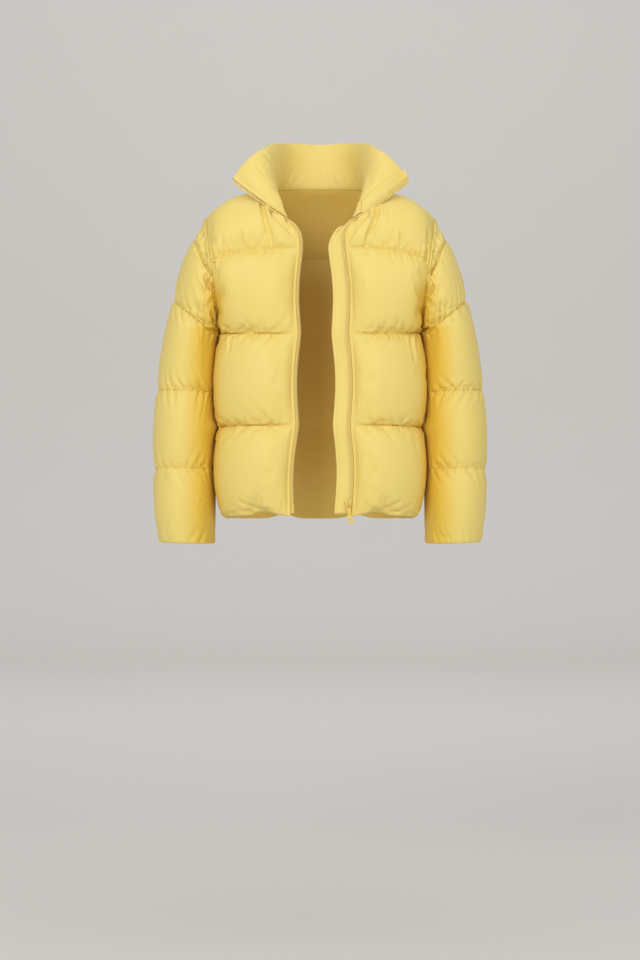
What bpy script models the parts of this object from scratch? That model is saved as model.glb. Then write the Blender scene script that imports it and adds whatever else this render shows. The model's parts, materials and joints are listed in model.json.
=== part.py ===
"""A quilted puffer jacket, worn open: hollow body, sleeves, stand collar and an open front zip.

Metres, +Z up. The wearer's left is +X and the front is -Y. The origin is the middle of the neck base at the
height where collar and shoulder seams meet, which is where the wearer's shoulders carry the jacket.
"""

import math
from collections import namedtuple

import bmesh
import bpy
import numpy as np
from mathutils import Matrix, Vector

# ---- driving sizes ---------------------------------------------------------------------------------------
WALL = 0.003  # shell, lining and pressed wadding at a seam
SEAM_GAP = 0.0003
BAND = 0.0062  # flat topstitched strip between the front baffles and the zip
TAPE_TO_TEETH = 0.0048  # from the finished front edge to the middle of the teeth
EDGE_PULL = 0.006  # the filled baffles draw the front edges back by this between two quilting lines
NECK_EDGE_BOW = 0.008  # over the chest line the front edges bow towards the middle by this
SECTION_POWER = 2.6  # squareness of the body's level sections

RIGHT, LEFT = -1, 1

# Level rows of the body. z at the front edge, the side and the middle of the back; the half width and the
# depths of the level section there; how far each zip stands from the middle.
BodyRow = namedtuple("BodyRow", "name z_front z_side z_back half_width front back zip_right zip_left")
BODY_ROWS = (
    BodyRow("hem", -0.646, -0.652, -0.655, 0.191, 0.124, 0.124, 0.0540, 0.0585),
    BodyRow("low line", -0.464, -0.468, -0.470, 0.200, 0.129, 0.124, 0.0438, 0.0560),
    BodyRow("waist line", -0.281, -0.268, -0.280, 0.198, 0.129, 0.120, 0.0396, 0.0531),
    BodyRow("chest line", -0.109, -0.124, -0.112, 0.290, 0.122, 0.122, 0.0356, 0.0463),
)
TOP = len(BODY_ROWS)  # v of the shoulder seams and the neckline

# The armhole is an ellipse in a leaning plane: x grows with z by ARMHOLE_LEAN.
ARMHOLE_X, ARMHOLE_Z = 0.2175, -0.154
ARMHOLE_DEPTH, ARMHOLE_HEIGHT = 0.098, 0.114
ARMHOLE_LEAN = 0.1272
CHEST_LINE_ANGLE = math.radians(80)  # where the chest line meets the armhole, from its top

# The neck seam, and the collar's free rim above it: 0 is the middle of the back, 1 the shoulder, 2 the front.
NeckPoint = namedtuple("NeckPoint", "place x y z")
NECK_SEAM = (
    NeckPoint(0.0, 0.000, 0.078, 0.028),
    NeckPoint(0.5, 0.066, 0.056, 0.025),
    NeckPoint(1.0, 0.093, 0.000, 0.014),
    NeckPoint(1.5, 0.089, -0.068, -0.014),
    NeckPoint(2.0, 0.0650, -0.113, -0.049),
)
COLLAR_RIM = (
    NeckPoint(0.0, 0.000, 0.100, 0.126),
    NeckPoint(0.5, 0.066, 0.070, 0.126),
    NeckPoint(1.0, 0.104, -0.010, 0.111),
    NeckPoint(1.25, 0.118, -0.042, 0.098),
    NeckPoint(1.5, 0.136, -0.062, 0.081),
    NeckPoint(1.75, 0.155, -0.074, 0.059),
    NeckPoint(2.0, 0.175, -0.080, 0.034),
)
FRONT_NECK_SHARE = 0.45  # share of a front's top row that is neckline; the rest is shoulder seam
BACK_NECK_SHARE = 0.46
CORNER_SOFT = 0.5  # the neck corner spreads over this share of the panel on its way down to the chest line
CORNER_WINDOW = np.linspace(-1, 1, 9)
ZIP_ROOM = 0.15  # nearer the zip than this share a front keeps its straight lines

# Rings of a sleeve below its cap line: outermost and innermost point, middle and half depth.
SleeveRing = namedtuple("SleeveRing", "name out_x out_z in_x in_z y half_depth")
SLEEVE_RINGS = (
    SleeveRing("upper line", 0.2950, -0.212, 0.2085, -0.287, -0.002, 0.081),
    SleeveRing("elbow line", 0.3260, -0.391, 0.2108, -0.395, -0.004, 0.074),
    SleeveRing("forearm line", 0.3330, -0.549, 0.2148, -0.550, -0.010, 0.068),
    SleeveRing("cuff", 0.3255, -0.701, 0.2140, -0.703, -0.016, 0.061),
)
CAP_LINE_SHARE, CAP_LINE_RISE = 0.12, 0.15  # the cap line's way from armhole to upper line, below and on top
CAP_LINE_SWELL = 0.007  # how far the sleeve head stands out over that line

# Body and sleeve press on each other along this surface: its |x| at some heights, growing with |y|.
SideContact = namedtuple("SideContact", "z x")
SIDE_CONTACT = (
    SideContact(-0.700, 0.2125),
    SideContact(-0.550, 0.2115),
    SideContact(-0.390, 0.2075),
    SideContact(-0.300, 0.2048),
)
CONTACT_SPREAD = 4.0  # per metre
CONTACT_CLEAR = 0.0012
CONTACT_SOFT = 0.002

# How far the filling lifts each baffle over its quilting lines, from the hem or the armhole on.
BODY_PUFF = (0.026, 0.025, 0.023, 0.019)
BACK_PUFF = (0.026, 0.025, 0.023, 0.020)
SLEEVE_PUFF = (0.008, 0.012, 0.014, 0.012, 0.010)
COLLAR_PUFF = 0.012
COLLAR_RIM_PUFF = 0.35  # share of the puff that is left at the collar's rolled rim
YOKE_BOW = 0.028
BACK_YOKE_BOW = 0.020
EDGE_FADE = 0.045  # the filling reaches its full height this far from a seam
SIDE_FADE = 0.75  # and further from the side seam and armhole, where the arm presses
PANEL_WIDTH, BAFFLE_HEIGHT = 0.20, 0.18  # about a front's width from zip to side, and a baffle's height
WALL_TURN = 0.025  # near an edge the wall turns into the seam's plane over this
FOLD_ROOM = 0.010  # a fold reaches its depth where the filling is this high
TOP_ROOM = 0.08  # height over which a panel's last row fills, so that it lies clear under the collar

# Soft troughs in a front: from a point to a point in (share from zip to side, row), then depth and half width.
Fold = namedtuple("Fold", "name u0 v0 u1 v1 depth half_width")
FRONT_FOLDS = (
    Fold("gather by the zip", 0.10, 3.98, 0.05, 3.25, 0.010, 0.010),
    Fold("gather under the collar", 0.26, 3.97, 0.17, 3.35, 0.009, 0.012),
    Fold("armhole crease", 0.97, 3.70, 0.99, 3.05, 0.006, 0.012),
    Fold("hem tuck", 0.40, 0.02, 0.25, 0.22, 0.008, 0.014),
)
HEM_LIFT, HEM_LIFT_X, HEM_LIFT_WIDTH = 0.009, 0.112, 0.024
BACK_HEM_LIFT_X = 0.075

# ---- colours: shell, zip tape and moulded zip parts -------------------------------------------------------
SHELL_COLOUR = (0.86, 0.64, 0.19, 1)
ZIP_COLOUR = (0.88, 0.72, 0.34, 1)
PULL_COLOUR = (0.83, 0.62, 0.22, 1)


# ---- curves and small sums --------------------------------------------------------------------------------
def smooth_curve(table, places):
    """Points of a table of NeckPoint at these places, on a smooth curve (cubic Hermite, so that it passes each)."""
    knots = np.array([row.place for row in table])
    points = np.array([(row.x, row.y, row.z) for row in table])
    slopes = np.gradient(points, knots, axis=0)
    slopes[0, 1:] = 0  # level and square across the middle of the back
    places = np.asarray(places, float)
    i = np.clip(np.searchsorted(knots, places, side="right") - 1, 0, len(knots) - 2)
    step = (knots[i + 1] - knots[i])[..., None]
    s = (places[..., None] - knots[i][..., None]) / step
    return (
        points[i] * (1 + 2 * s) * (1 - s) ** 2
        + points[i + 1] * s**2 * (3 - 2 * s)
        + slopes[i] * step * s * (1 - s) ** 2
        + slopes[i + 1] * step * s**2 * (s - 1)
    )


def neck_seam(places):
    """The neck seam; a negative place is on the wearer's right."""
    points = smooth_curve(NECK_SEAM, np.abs(places))
    points[..., 0] *= np.sign(places)
    return points


def collar_rim(places):
    points = smooth_curve(COLLAR_RIM, np.abs(places))
    points[..., 0] *= np.sign(places)
    return points


def armhole(angle, side):
    """The armhole seam: 0 is the shoulder, a quarter turn the front, a half turn the armpit."""
    rise = ARMHOLE_HEIGHT * np.cos(angle)
    x = side * (ARMHOLE_X + ARMHOLE_LEAN * rise)
    return np.stack([x, -ARMHOLE_DEPTH * np.sin(angle), ARMHOLE_Z + rise], axis=-1)


def unit(vectors):
    return vectors / np.maximum(np.linalg.norm(vectors, axis=-1, keepdims=True), 1e-9)


def mix(a, b, share):
    return a * (1 - share) + b * share


def soft_step(values, low, high):
    s = np.clip((values - low) / (high - low), 0, 1)
    return s * s * (3 - 2 * s)


def rounded(share, power):
    """A crown over 0 to 1: 0 at both ends, 1 in the middle, steeper at its ends for a smaller power."""
    return np.clip(4 * share * (1 - share), 0, 1) ** power


def edge_fade(distance):
    """How full the filling is at this distance from a seam."""
    near = 1 - np.clip(distance / EDGE_FADE, 0, 1)
    return (1 - near**2) ** 0.75


def level_section(half_width, depth, x_from, x_to, shares):
    """(x, y) along a level quarter section, at these shares of its length from x_from to x_to; y is forwards."""
    turn = [math.asin(min(1, x / half_width) ** (SECTION_POWER / 2)) for x in (x_from, x_to)]
    angles = np.linspace(*turn, 241)
    x = half_width * np.sin(angles) ** (2 / SECTION_POWER)
    y = depth * np.clip(np.cos(angles), 0, 1) ** (2 / SECTION_POWER)
    length = np.concatenate([[0], np.cumsum(np.hypot(np.diff(x), np.diff(y)))])
    at = np.asarray(shares) * length[-1]
    return np.interp(at, length, x), np.interp(at, length, y)


# ---- the body's base surface, at the quilting lines' level -------------------------------------------------
def zip_place(row, side):
    return row.zip_left if side == LEFT else row.zip_right


def hem_lift(x, middle):
    return HEM_LIFT * np.exp(-(((np.abs(x) - middle) / HEM_LIFT_WIDTH) ** 2))


def shoulder_line(shares, side):
    """From the neck to the top of the armhole, bowed up a little."""
    high = neck_seam(side * 1.0)
    tip = armhole(0.0, side)
    line = mix(high, tip, shares[..., None])
    line[..., 2] += 0.008 * rounded(shares, 1)
    return line


def front_row(index, shares, side):
    """A front's row from the zip (share 0) to the side seam or armhole (share 1)."""
    if index == TOP:
        on_neck = 2 - np.clip(shares / FRONT_NECK_SHARE, 0, 1)
        on_shoulder = np.clip((shares - FRONT_NECK_SHARE) / (1 - FRONT_NECK_SHARE), 0, 1)
        neck = neck_seam(side * on_neck)
        return np.where((shares <= FRONT_NECK_SHARE)[..., None], neck, shoulder_line(on_shoulder, side))
    row = BODY_ROWS[index]
    start = zip_place(row, side) + TAPE_TO_TEETH
    end = min(row.half_width, abs(armhole(CHEST_LINE_ANGLE, side)[0]))
    x, y = level_section(row.half_width, row.front, start, end, shares)
    z = mix(row.z_front, row.z_side, shares**3)
    if index == 0:
        z = z + hem_lift(x, HEM_LIFT_X)
    return np.stack([side * x, -y, z], axis=-1)


def back_row(index, shares):
    """The back's row from the wearer's right side (share -1) to the left (share 1)."""
    near = np.abs(shares)
    if index == TOP:
        neck = neck_seam(np.where(shares < 0, -1, 1) * np.clip(near / BACK_NECK_SHARE, 0, 1))
        shoulder = np.clip((near - BACK_NECK_SHARE) / (1 - BACK_NECK_SHARE), 0, 1)
        line = shoulder_line(shoulder, LEFT)
        line[..., 0] *= np.where(shares < 0, -1, 1)
        return np.where((near <= BACK_NECK_SHARE)[..., None], neck, line)
    row = BODY_ROWS[index]
    end = min(row.half_width, abs(armhole(CHEST_LINE_ANGLE, LEFT)[0]))
    x, y = level_section(row.half_width, row.back, 0.0, end, near)
    z = mix(row.z_back, row.z_side, near**2)
    if index == 0:
        z = z + hem_lift(x, BACK_HEM_LIFT_X)
    return np.stack([np.where(shares < 0, -x, x), y, z], axis=-1)


def armhole_angle(rows):
    """The armhole's angle for rows from the waist line (armpit) over the chest line to the top."""
    return np.interp(rows, [2, 3, TOP], [math.pi, CHEST_LINE_ANGLE, 0.0])


def side_edge(rows, side, facing):
    """The side seam up to the armpit, then the armhole; facing is 1 for the front half and -1 for the back."""
    low = np.array([(side * row.half_width, 0, row.z_side) for row in BODY_ROWS[:3]])
    seam = np.stack([np.interp(rows, range(3), low[:, axis]) for axis in range(3)], axis=-1)
    ring = armhole(armhole_angle(rows), side)
    ring[..., 1] *= facing
    return np.where((rows <= 2)[:, None], seam, ring)


def lofted(row_function, shares, rows, room):
    """Straight between neighbouring rows: an array [row, share, xyz]; room is each share's way to the edge."""
    lines = [row_function(index, shares) for index in range(TOP)]
    points = []
    for row in rows:
        low = min(int(row), TOP - 1)
        high = lines[low + 1] if low < TOP - 1 else None
        if high is None:
            spread = np.minimum(CORNER_SOFT * (TOP - row), room)
            high = np.mean([row_function(TOP, shares + spread * k) for k in CORNER_WINDOW], axis=0)
        points.append(mix(lines[low], high, row - low))
    return np.stack(points)


def yoke_crown(shares, rows, edge_zero):
    """1 in the middle of the yoke, over the chest line, and 0 on its edges."""
    over = np.clip(rows - (TOP - 1), 0, 1)
    return rounded(over, 1.3)[:, None] * edge_zero[None, :]


def front_base(shares, rows, side):
    room = np.clip(np.minimum(shares - ZIP_ROOM, 1 - shares), 0, None)
    points = lofted(lambda index, at: front_row(index, at, side), shares, rows, room)
    points += (shares[None, :] ** 2.5)[..., None] * (side_edge(rows, side, 1)[:, None] - points[:, -1:])
    pulled = np.where(rows < TOP - 1, EDGE_PULL, -NECK_EDGE_BOW) * rounded(rows % 1, 1.5)
    pull = (1 - shares[None, :]) ** 8 * pulled[:, None]
    points[..., 0] += side * pull
    points[..., 1] += 0.5 * pull
    crown = yoke_crown(shares, rows, np.sin(math.pi * shares**1.4) ** 0.9) * YOKE_BOW
    return points + crown[..., None] * np.array([0, -0.6, 0.8])


def back_base(shares, rows):
    points = lofted(back_row, shares, rows, 1 - np.abs(shares))
    for side, column in ((RIGHT, 0), (LEFT, -1)):
        reach = np.clip(side * shares, 0, 1)[None, :] ** 4
        points += reach[..., None] * (side_edge(rows, side, -1) - points[:, column])[:, None]
    crown = yoke_crown(shares, rows, np.cos(math.pi / 2 * shares) ** 0.5) * BACK_YOKE_BOW
    return points + crown[..., None] * np.array([0, 0.75, 0.66])


# ---- from base to wall -------------------------------------------------------------------------------------
def normals_of(points, closed=False):
    """Unit normals of a grid, from the differences of neighbouring points."""
    if closed:
        along = np.roll(points, -1, axis=1) - np.roll(points, 1, axis=1)
    else:
        along = np.gradient(points, axis=1)
    return unit(np.cross(along, np.gradient(points, axis=0)))


def contact_x(y, z):
    """|x| of the surface where body and sleeve press on each other, up to the armhole's plane."""
    pit = ARMHOLE_Z - ARMHOLE_HEIGHT
    heights = [row.z for row in SIDE_CONTACT] + [pit, 0.0]
    places = [row.x for row in SIDE_CONTACT] + [ARMHOLE_X + ARMHOLE_LEAN * (h - ARMHOLE_Z) for h in (pit, 0.0)]
    turn = np.clip((z - ARMHOLE_Z) / ARMHOLE_HEIGHT, -1, 1)
    ring_y = ARMHOLE_DEPTH * np.sqrt(1 - turn**2)
    return np.interp(z, heights, places) + CONTACT_SPREAD * np.clip(np.abs(y) - ring_y, 0, None) ** 2


def keep_inside(points, margin):
    """Body points, kept softly on the wearer's side of the contact surface."""
    limit = contact_x(points[..., 1], points[..., 2]) - margin
    over = CONTACT_SOFT * np.logaddexp(0, (np.abs(points[..., 0]) - limit) / CONTACT_SOFT)
    points = points.copy()
    points[..., 0] -= np.sign(points[..., 0]) * over
    return points


def keep_outside(points, margin):
    """Sleeve points, kept softly on the far side of the contact surface."""
    limit = contact_x(points[..., 1], points[..., 2]) + margin
    under = CONTACT_SOFT * np.logaddexp(0, (limit - np.abs(points[..., 0])) / CONTACT_SOFT)
    points = points.copy()
    points[..., 0] += np.sign(points[..., 0]) * under
    return points


def fold_depth(folds, shares, rows):
    """How deep the folds lie at each grid point of a front."""
    scale = np.array([PANEL_WIDTH, BAFFLE_HEIGHT])
    depth = np.zeros((len(rows), len(shares)))
    u, v = np.meshgrid(shares * PANEL_WIDTH, rows * BAFFLE_HEIGHT)
    for fold in folds:
        a = np.array([fold.u0, fold.v0]) * scale
        run = np.array([fold.u1, fold.v1]) * scale - a
        along = np.clip(((u - a[0]) * run[0] + (v - a[1]) * run[1]) / (run @ run), 0, 1)
        off = np.hypot(u - a[0] - along * run[0], v - a[1] - along * run[1])
        depth += fold.depth * (1 - 0.6 * along) * np.exp(-((off / fold.half_width) ** 2))
    return depth


def row_puff(rows, lifts):
    """The crown of each baffle, a little fuller below its middle."""
    index = np.clip(np.floor(rows).astype(int), 0, len(lifts) - 1)
    share = rows - index
    return np.array(lifts)[index] * rounded(share**0.9, 0.55) * edge_fade((len(lifts) - rows) * TOP_ROOM)


def to_neck(points):
    """Level unit vectors from points of the neck seam towards the neck's middle, straight back at the front."""
    sideways = soft_step(points[..., 1], NECK_SEAM[-1].y, NECK_SEAM[-2].y)
    return unit(np.stack([-points[..., 0] * sideways, -points[..., 1], 0 * sideways], axis=-1))


def side_inward(normals, shares, rows, side, facing):
    """From the shell to the inside: against the normal, and in the seam's own plane on the side and armhole."""
    angle = armhole_angle(rows)
    ring = np.stack([0 * angle, facing * np.sin(angle), -np.cos(angle)], axis=-1)
    level = np.array([[-side, 0.0, 0.0]])
    on_edge = np.where((rows < 2)[:, None], level, ring)
    near = 1 - soft_step((1 - np.abs(shares)) * PANEL_WIDTH, 0.0, WALL_TURN)
    return mix(-normals, on_edge[:, None], near[None, :, None])


def turn_ends(inward, base, shares, rows, neck_share):
    """The wall's edge lies level at the hem and on the neckline, and hangs down on the shoulder seam."""
    on_shoulder = soft_step(np.abs(shares), neck_share - 0.02, neck_share + 0.06)[:, None]
    edge = unit(mix(to_neck(base[-1]), np.array([0.0, 0.0, -1.0]), on_shoulder))
    near_top = (1 - soft_step((TOP - rows) * BAFFLE_HEIGHT, 0.0, WALL_TURN))[:, None, None]
    near_hem = (1 - soft_step(rows * BAFFLE_HEIGHT, 0.0, WALL_TURN))[:, None]
    inward = mix(inward, edge[None], near_top)
    inward[..., 2] *= 1 - near_hem
    return unit(inward)


def body_skins(base, normals, inward, lift):
    """(outer, inner) grids of a body panel, clear of the sleeves."""
    outer = keep_inside(base + normals * lift[..., None], CONTACT_CLEAR)
    inner = keep_inside(base + inward * WALL, CONTACT_CLEAR + WALL)
    return outer, inner


def set_side_edge(skins, base, inward, column, side):
    """The side seam and the armhole keep their place, half a seam's gap on the wearer's side."""
    gap = np.array([side * SEAM_GAP / 2, 0, 0])
    skins[0][:, column] = base[:, column] - gap
    skins[1][:, column] = base[:, column] + inward[:, column] * WALL - gap


def front_walls(shares, rows, side):
    """(outer, inner) grids of a front."""
    base = front_base(shares, rows, side)
    normals = normals_of(base) * side
    lift = row_puff(rows, BODY_PUFF)[:, None] * edge_fade(shares * PANEL_WIDTH - BAND)[None, :]
    lift = lift * edge_fade((1 - shares) * PANEL_WIDTH * SIDE_FADE)[None, :]
    lift -= fold_depth(FRONT_FOLDS, shares, rows) * np.clip(lift / FOLD_ROOM, 0, 1)
    inward = side_inward(normals, shares, rows, side, 1)
    by_zip = (1 - soft_step(shares * PANEL_WIDTH, 0.0, 2 * BAND))[None, :, None]
    inward = mix(inward, np.array([0.0, 1.0, 0.0]), by_zip)
    inward = turn_ends(inward, base, shares, rows, FRONT_NECK_SHARE)
    skins = body_skins(base, normals, inward, lift)
    set_side_edge(skins, base, inward, -1, side)
    return [skin - np.array([0, SEAM_GAP / 2, 0]) for skin in skins]


def back_walls(shares, rows):
    """(outer, inner) grids of the back."""
    base = back_base(shares, rows)
    normals = -normals_of(base)
    lift = row_puff(rows, BACK_PUFF)[:, None] * edge_fade((1 - np.abs(shares)) * PANEL_WIDTH * SIDE_FADE)[None, :]
    inward = -normals
    for side in (RIGHT, LEFT):
        half = np.where(side * shares > 0)[0]
        inward[:, half] = side_inward(normals[:, half], shares[half], rows, side, -1)
    inward = turn_ends(inward, base, shares, rows, BACK_NECK_SHARE)
    skins = body_skins(base, normals, inward, lift)
    for side, column in ((RIGHT, 0), (LEFT, -1)):
        set_side_edge(skins, base, inward, column, side)
    return [skin + np.array([0, SEAM_GAP / 2, 0]) for skin in skins]


def sleeve_ring(index, angles, side):
    """Ring points of a sleeve: 0 is the armhole, 1 the cap line, then SLEEVE_RINGS; angle 0 is outermost."""
    if index == 0:
        return armhole(angles, side)
    if index == 1:
        share = CAP_LINE_SHARE + CAP_LINE_RISE * np.clip(np.cos(angles), 0, 1) ** 0.8
        points = mix(armhole(angles, side), sleeve_ring(2, angles, side), share[..., None])
        points[..., 0] += side * CAP_LINE_SWELL * np.clip(np.cos(angles), 0, 1)
        return points
    ring = SLEEVE_RINGS[index - 2]
    across = np.cos(angles)
    x = mix(ring.in_x, ring.out_x, (1 + across) / 2)
    z = mix(ring.in_z, ring.out_z, (1 + across) / 2)
    return np.stack([side * x, ring.y - ring.half_depth * np.sin(angles), z], axis=-1)


def sleeve_walls(angles, rows, side):
    """(outer, inner) grids of a sleeve, closed round the arm; row 0 is the armhole."""
    lines = [sleeve_ring(index, angles, side) for index in range(len(SLEEVE_RINGS) + 2)]
    low = np.clip(np.floor(rows).astype(int), 0, len(lines) - 2)
    base = np.stack([mix(lines[i], lines[i + 1], row - i) for i, row in zip(low, rows)])
    normals = normals_of(base, closed=True) * side
    around = 0.72 + 0.28 * np.abs(np.sin(angles)) - 0.25 * np.clip(-np.cos(angles), 0, 1) ** 2
    lift = row_puff(rows, SLEEVE_PUFF)[:, None] * around[None, :]
    room = np.linalg.norm(lines[1] - lines[0], axis=-1) * 0.35
    lift[rows < 1] = np.minimum(lift[rows < 1], room[None, :])
    ring = np.stack([0 * angles, np.sin(angles), -np.cos(angles)], axis=-1)
    near = (1 - soft_step(rows, 0.0, 0.6))[:, None, None]
    inward = mix(-normals, ring[None], near)
    level = (soft_step(rows, len(lines) - 1.12, len(lines) - 1.0))[:, None]
    inward[..., 2] *= 1 - level
    plain = base + unit(inward) * WALL
    outer = keep_outside(base + normals * lift[..., None], CONTACT_CLEAR)
    inner = keep_outside(plain, CONTACT_CLEAR + WALL)
    gap = np.array([side * SEAM_GAP / 2, 0, 0])
    outer[0], inner[0] = base[0] + gap, plain[0] + gap
    return outer, inner


def collar_base(places, shares):
    """The collar's outer face before it is filled: an array [share of height, place, xyz]."""
    low, high = neck_seam(places), collar_rim(places)
    s = shares[:, None, None]
    points = mix(low[None], high[None], s)
    front = soft_step(np.abs(places), 0.9, 1.5) * (1 - soft_step(np.abs(places), 1.8, 2.0))
    back = 1 - soft_step(np.abs(places), 0.6, 1.1)
    roll = rounded(shares, 1)[:, None]
    points[..., 2] += roll * 0.016 * front[None, :]
    points[..., 1] += roll * 0.008 * back[None, :]
    edge = soft_step(np.abs(places), 1.6, 2.0)
    points[..., 2] -= roll * 0.004 * edge[None, :]
    points[..., 1] -= roll * 0.010 * edge[None, :]
    return points


def collar_walls(places, shares):
    base = collar_base(places, shares)
    normals = -normals_of(base)
    from_end = (2 - np.abs(places)) * 0.13
    crown = np.where(shares > 0.5, mix(1.0, COLLAR_RIM_PUFF, ((shares - 0.5) / 0.5) ** 3), rounded(shares, 0.55))
    lift = COLLAR_PUFF * crown[:, None] * edge_fade(from_end - BAND)[None, :]
    over_yoke = soft_step(np.abs(places), 0.8, 1.3)[None, :] * (1 - soft_step(shares, 0.0, 0.5))[:, None]
    outer = base + normals * (lift * (1 - over_yoke))[..., None]
    inner = base - normals * (WALL + lift)[..., None]
    seam = neck_seam(places) + np.array([0.0, 0.0, 2 * SEAM_GAP])
    outer[0], inner[0] = seam, seam + to_neck(seam) * WALL
    return outer, inner


# ---- meshes ------------------------------------------------------------------------------------------------
def shade(material_name, colour, roughness):
    material = bpy.data.materials.get(material_name) or bpy.data.materials.new(material_name)
    material.use_nodes = True
    shader = material.node_tree.nodes["Principled BSDF"]
    shader.inputs["Base Color"].default_value = colour
    shader.inputs["Roughness"].default_value = roughness
    shader.inputs["Metallic"].default_value = 0.0
    return material


def add_object(name, mesh_builder, colour, roughness=0.55):
    mesh = bpy.data.meshes.new(name)
    bmesh.ops.recalc_face_normals(mesh_builder, faces=mesh_builder.faces)
    mesh_builder.to_mesh(mesh)
    mesh_builder.free()
    mesh.shade_smooth()
    mesh.set_sharp_from_angle(angle=math.radians(50))
    part = bpy.data.objects.new(name, mesh)
    part.data.materials.append(shade(name, colour, roughness))
    bpy.context.collection.objects.link(part)
    return part


def shell(name, outer, inner, colour, closed=False):
    """A closed wall between two grids [row, column, xyz], round in its columns when closed."""
    builder = bmesh.new()
    skins = [[[builder.verts.new(point) for point in row] for row in grid] for grid in (outer, inner)]
    rows, columns = outer.shape[:2]
    steps = columns if closed else columns - 1
    for skin in skins:
        for i in range(rows - 1):
            for j in range(steps):
                k = (j + 1) % columns
                builder.faces.new((skin[i][j], skin[i][k], skin[i + 1][k], skin[i + 1][j]))
    for i in (0, rows - 1):
        for j in range(steps):
            k = (j + 1) % columns
            builder.faces.new((skins[0][i][j], skins[0][i][k], skins[1][i][k], skins[1][i][j]))
    for j in () if closed else (0, columns - 1):
        for i in range(rows - 1):
            builder.faces.new((skins[0][i][j], skins[0][i + 1][j], skins[1][i + 1][j], skins[1][i][j]))
    return add_object(name, builder, colour)


def swept(name, profiles, colour, roughness=0.5):
    """A closed solid through cross-sections, each a list of points in the same order."""
    builder = bmesh.new()
    rings = [[builder.verts.new(point) for point in ring] for ring in profiles]
    count = len(rings[0])
    for low, high in zip(rings, rings[1:]):
        for j in range(count):
            k = (j + 1) % count
            builder.faces.new((low[j], low[k], high[k], high[j]))
    builder.faces.new(rings[0][::-1])
    builder.faces.new(rings[-1])
    return add_object(name, builder, colour, roughness)


# ---- panels ------------------------------------------------------------------------------------------------
BAFFLE_STEPS = (0.0, 0.06, 0.2, 0.4, 0.62, 0.82, 0.94)
FRONT_COLUMNS = np.array([0, 0.031, 0.075, 0.14, 0.24, 0.34, 0.45, 0.57, 0.69, 0.80, 0.86, 0.94, 1])
BACK_COLUMNS = np.array([0, 0.1, 0.2, 0.3, 0.38, 0.46, 0.56, 0.67, 0.78, 0.88, 0.96, 1])
SLEEVE_COLUMNS = 24
SLEEVE_STEPS = (0.0, 0.08, 0.28, 0.52, 0.76, 0.93)
COLLAR_PLACES = np.array([0, 0.2, 0.4, 0.6, 0.8, 1.0, 1.2, 1.4, 1.6, 1.78, 1.9, 1.953, 2.0])
COLLAR_HEIGHTS = np.array([0, 0.07, 0.2, 0.38, 0.56, 0.74, 0.9, 1.0])


def baffle_rows(count, steps):
    return np.array([index + step for index in range(count) for step in steps] + [count], float)


def both_ways(half):
    return np.concatenate([-half[:0:-1], half])


def build_panels():
    rows = baffle_rows(TOP, BAFFLE_STEPS)
    shell("back", *back_walls(both_ways(BACK_COLUMNS), rows), SHELL_COLOUR)
    angles = np.linspace(0, 2 * math.pi, SLEEVE_COLUMNS, endpoint=False)
    sleeve_rows = baffle_rows(len(SLEEVE_RINGS) + 1, SLEEVE_STEPS)
    for side, word in ((RIGHT, "right"), (LEFT, "left")):
        shell(f"front_{word}", *front_walls(FRONT_COLUMNS, rows, side), SHELL_COLOUR)
        shell(f"sleeve_{word}", *sleeve_walls(angles, sleeve_rows, side), SHELL_COLOUR, closed=True)
    shell("collar", *collar_walls(both_ways(COLLAR_PLACES), COLLAR_HEIGHTS), SHELL_COLOUR)


# ---- zip, wind flap and pocket welts -------------------------------------------------------------------------
# Cross-sections along a front edge, in metres: `across` from the finished edge towards the middle, `out` from the
# wall's outer face.
Corner = namedtuple("Corner", "across out")
MID_WALL = -WALL / 2
HALF_TAPE, HALF_TEETH, TEETH_NOSE = 0.0006, 0.0017, 0.0021
TAPE_SECTION = (
    Corner(HALF_TAPE, MID_WALL - HALF_TAPE),
    Corner(TAPE_TO_TEETH - HALF_TEETH, MID_WALL - HALF_TEETH),
    Corner(TAPE_TO_TEETH + HALF_TEETH, MID_WALL - HALF_TEETH),
    Corner(TAPE_TO_TEETH + TEETH_NOSE, MID_WALL),
    Corner(TAPE_TO_TEETH + HALF_TEETH, MID_WALL + HALF_TEETH),
    Corner(TAPE_TO_TEETH - HALF_TEETH, MID_WALL + HALF_TEETH),
    Corner(HALF_TAPE, MID_WALL + HALF_TAPE),
)
FLAP_NEAR, FLAP_DEEP, FLAP_THICK = -0.0037, -0.0055, 0.002
# The wind flap's root and free edge, across from the front edge, by row; rows over TOP run up the collar.
FlapEdge = namedtuple("FlapEdge", "row root reach")
FLAP_EDGES = (
    FlapEdge(0.0, -0.0035, 0.0345),
    FlapEdge(2.8, -0.0035, 0.0345),
    FlapEdge(3.06, 0.0008, 0.0345),
    FlapEdge(3.6, 0.0008, 0.0200),
    FlapEdge(4.0, 0.0008, 0.0115),
    FlapEdge(4.2, -0.0035, 0.0050),
    FlapEdge(4.4, -0.0035, 0.0060),
    FlapEdge(5.0, -0.0035, 0.0085),
)
SLIDER_Z = -0.621
SLIDER_HEIGHT = 0.0130
BOX_HEIGHT, PIN_HEIGHT = 0.0130, 0.0165
TRIM_GAP = 0.0004
PIN_TOP_Z = -0.6245
WELT_FROM, WELT_TO = 0.80, 0.86  # the pocket welt's edges, as shares of the front
WELT_LOW, WELT_HIGH = 0.81, 1.95  # and its ends lie just inside these rows
WELT_THICK = 0.002

Frames = namedtuple("Frames", "row point across out")


def body_edge(side, rows):
    """Points and directions up a finished front edge, from the hem to just under the neck seam."""
    points = front_base(FRONT_COLUMNS, rows, side)[:, 0]
    across = np.tile([-side, 0.0, 0.0], (len(rows), 1))
    out = np.tile([0.0, -1.0, 0.0], (len(rows), 1))
    return Frames(rows, points, across, out)


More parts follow.
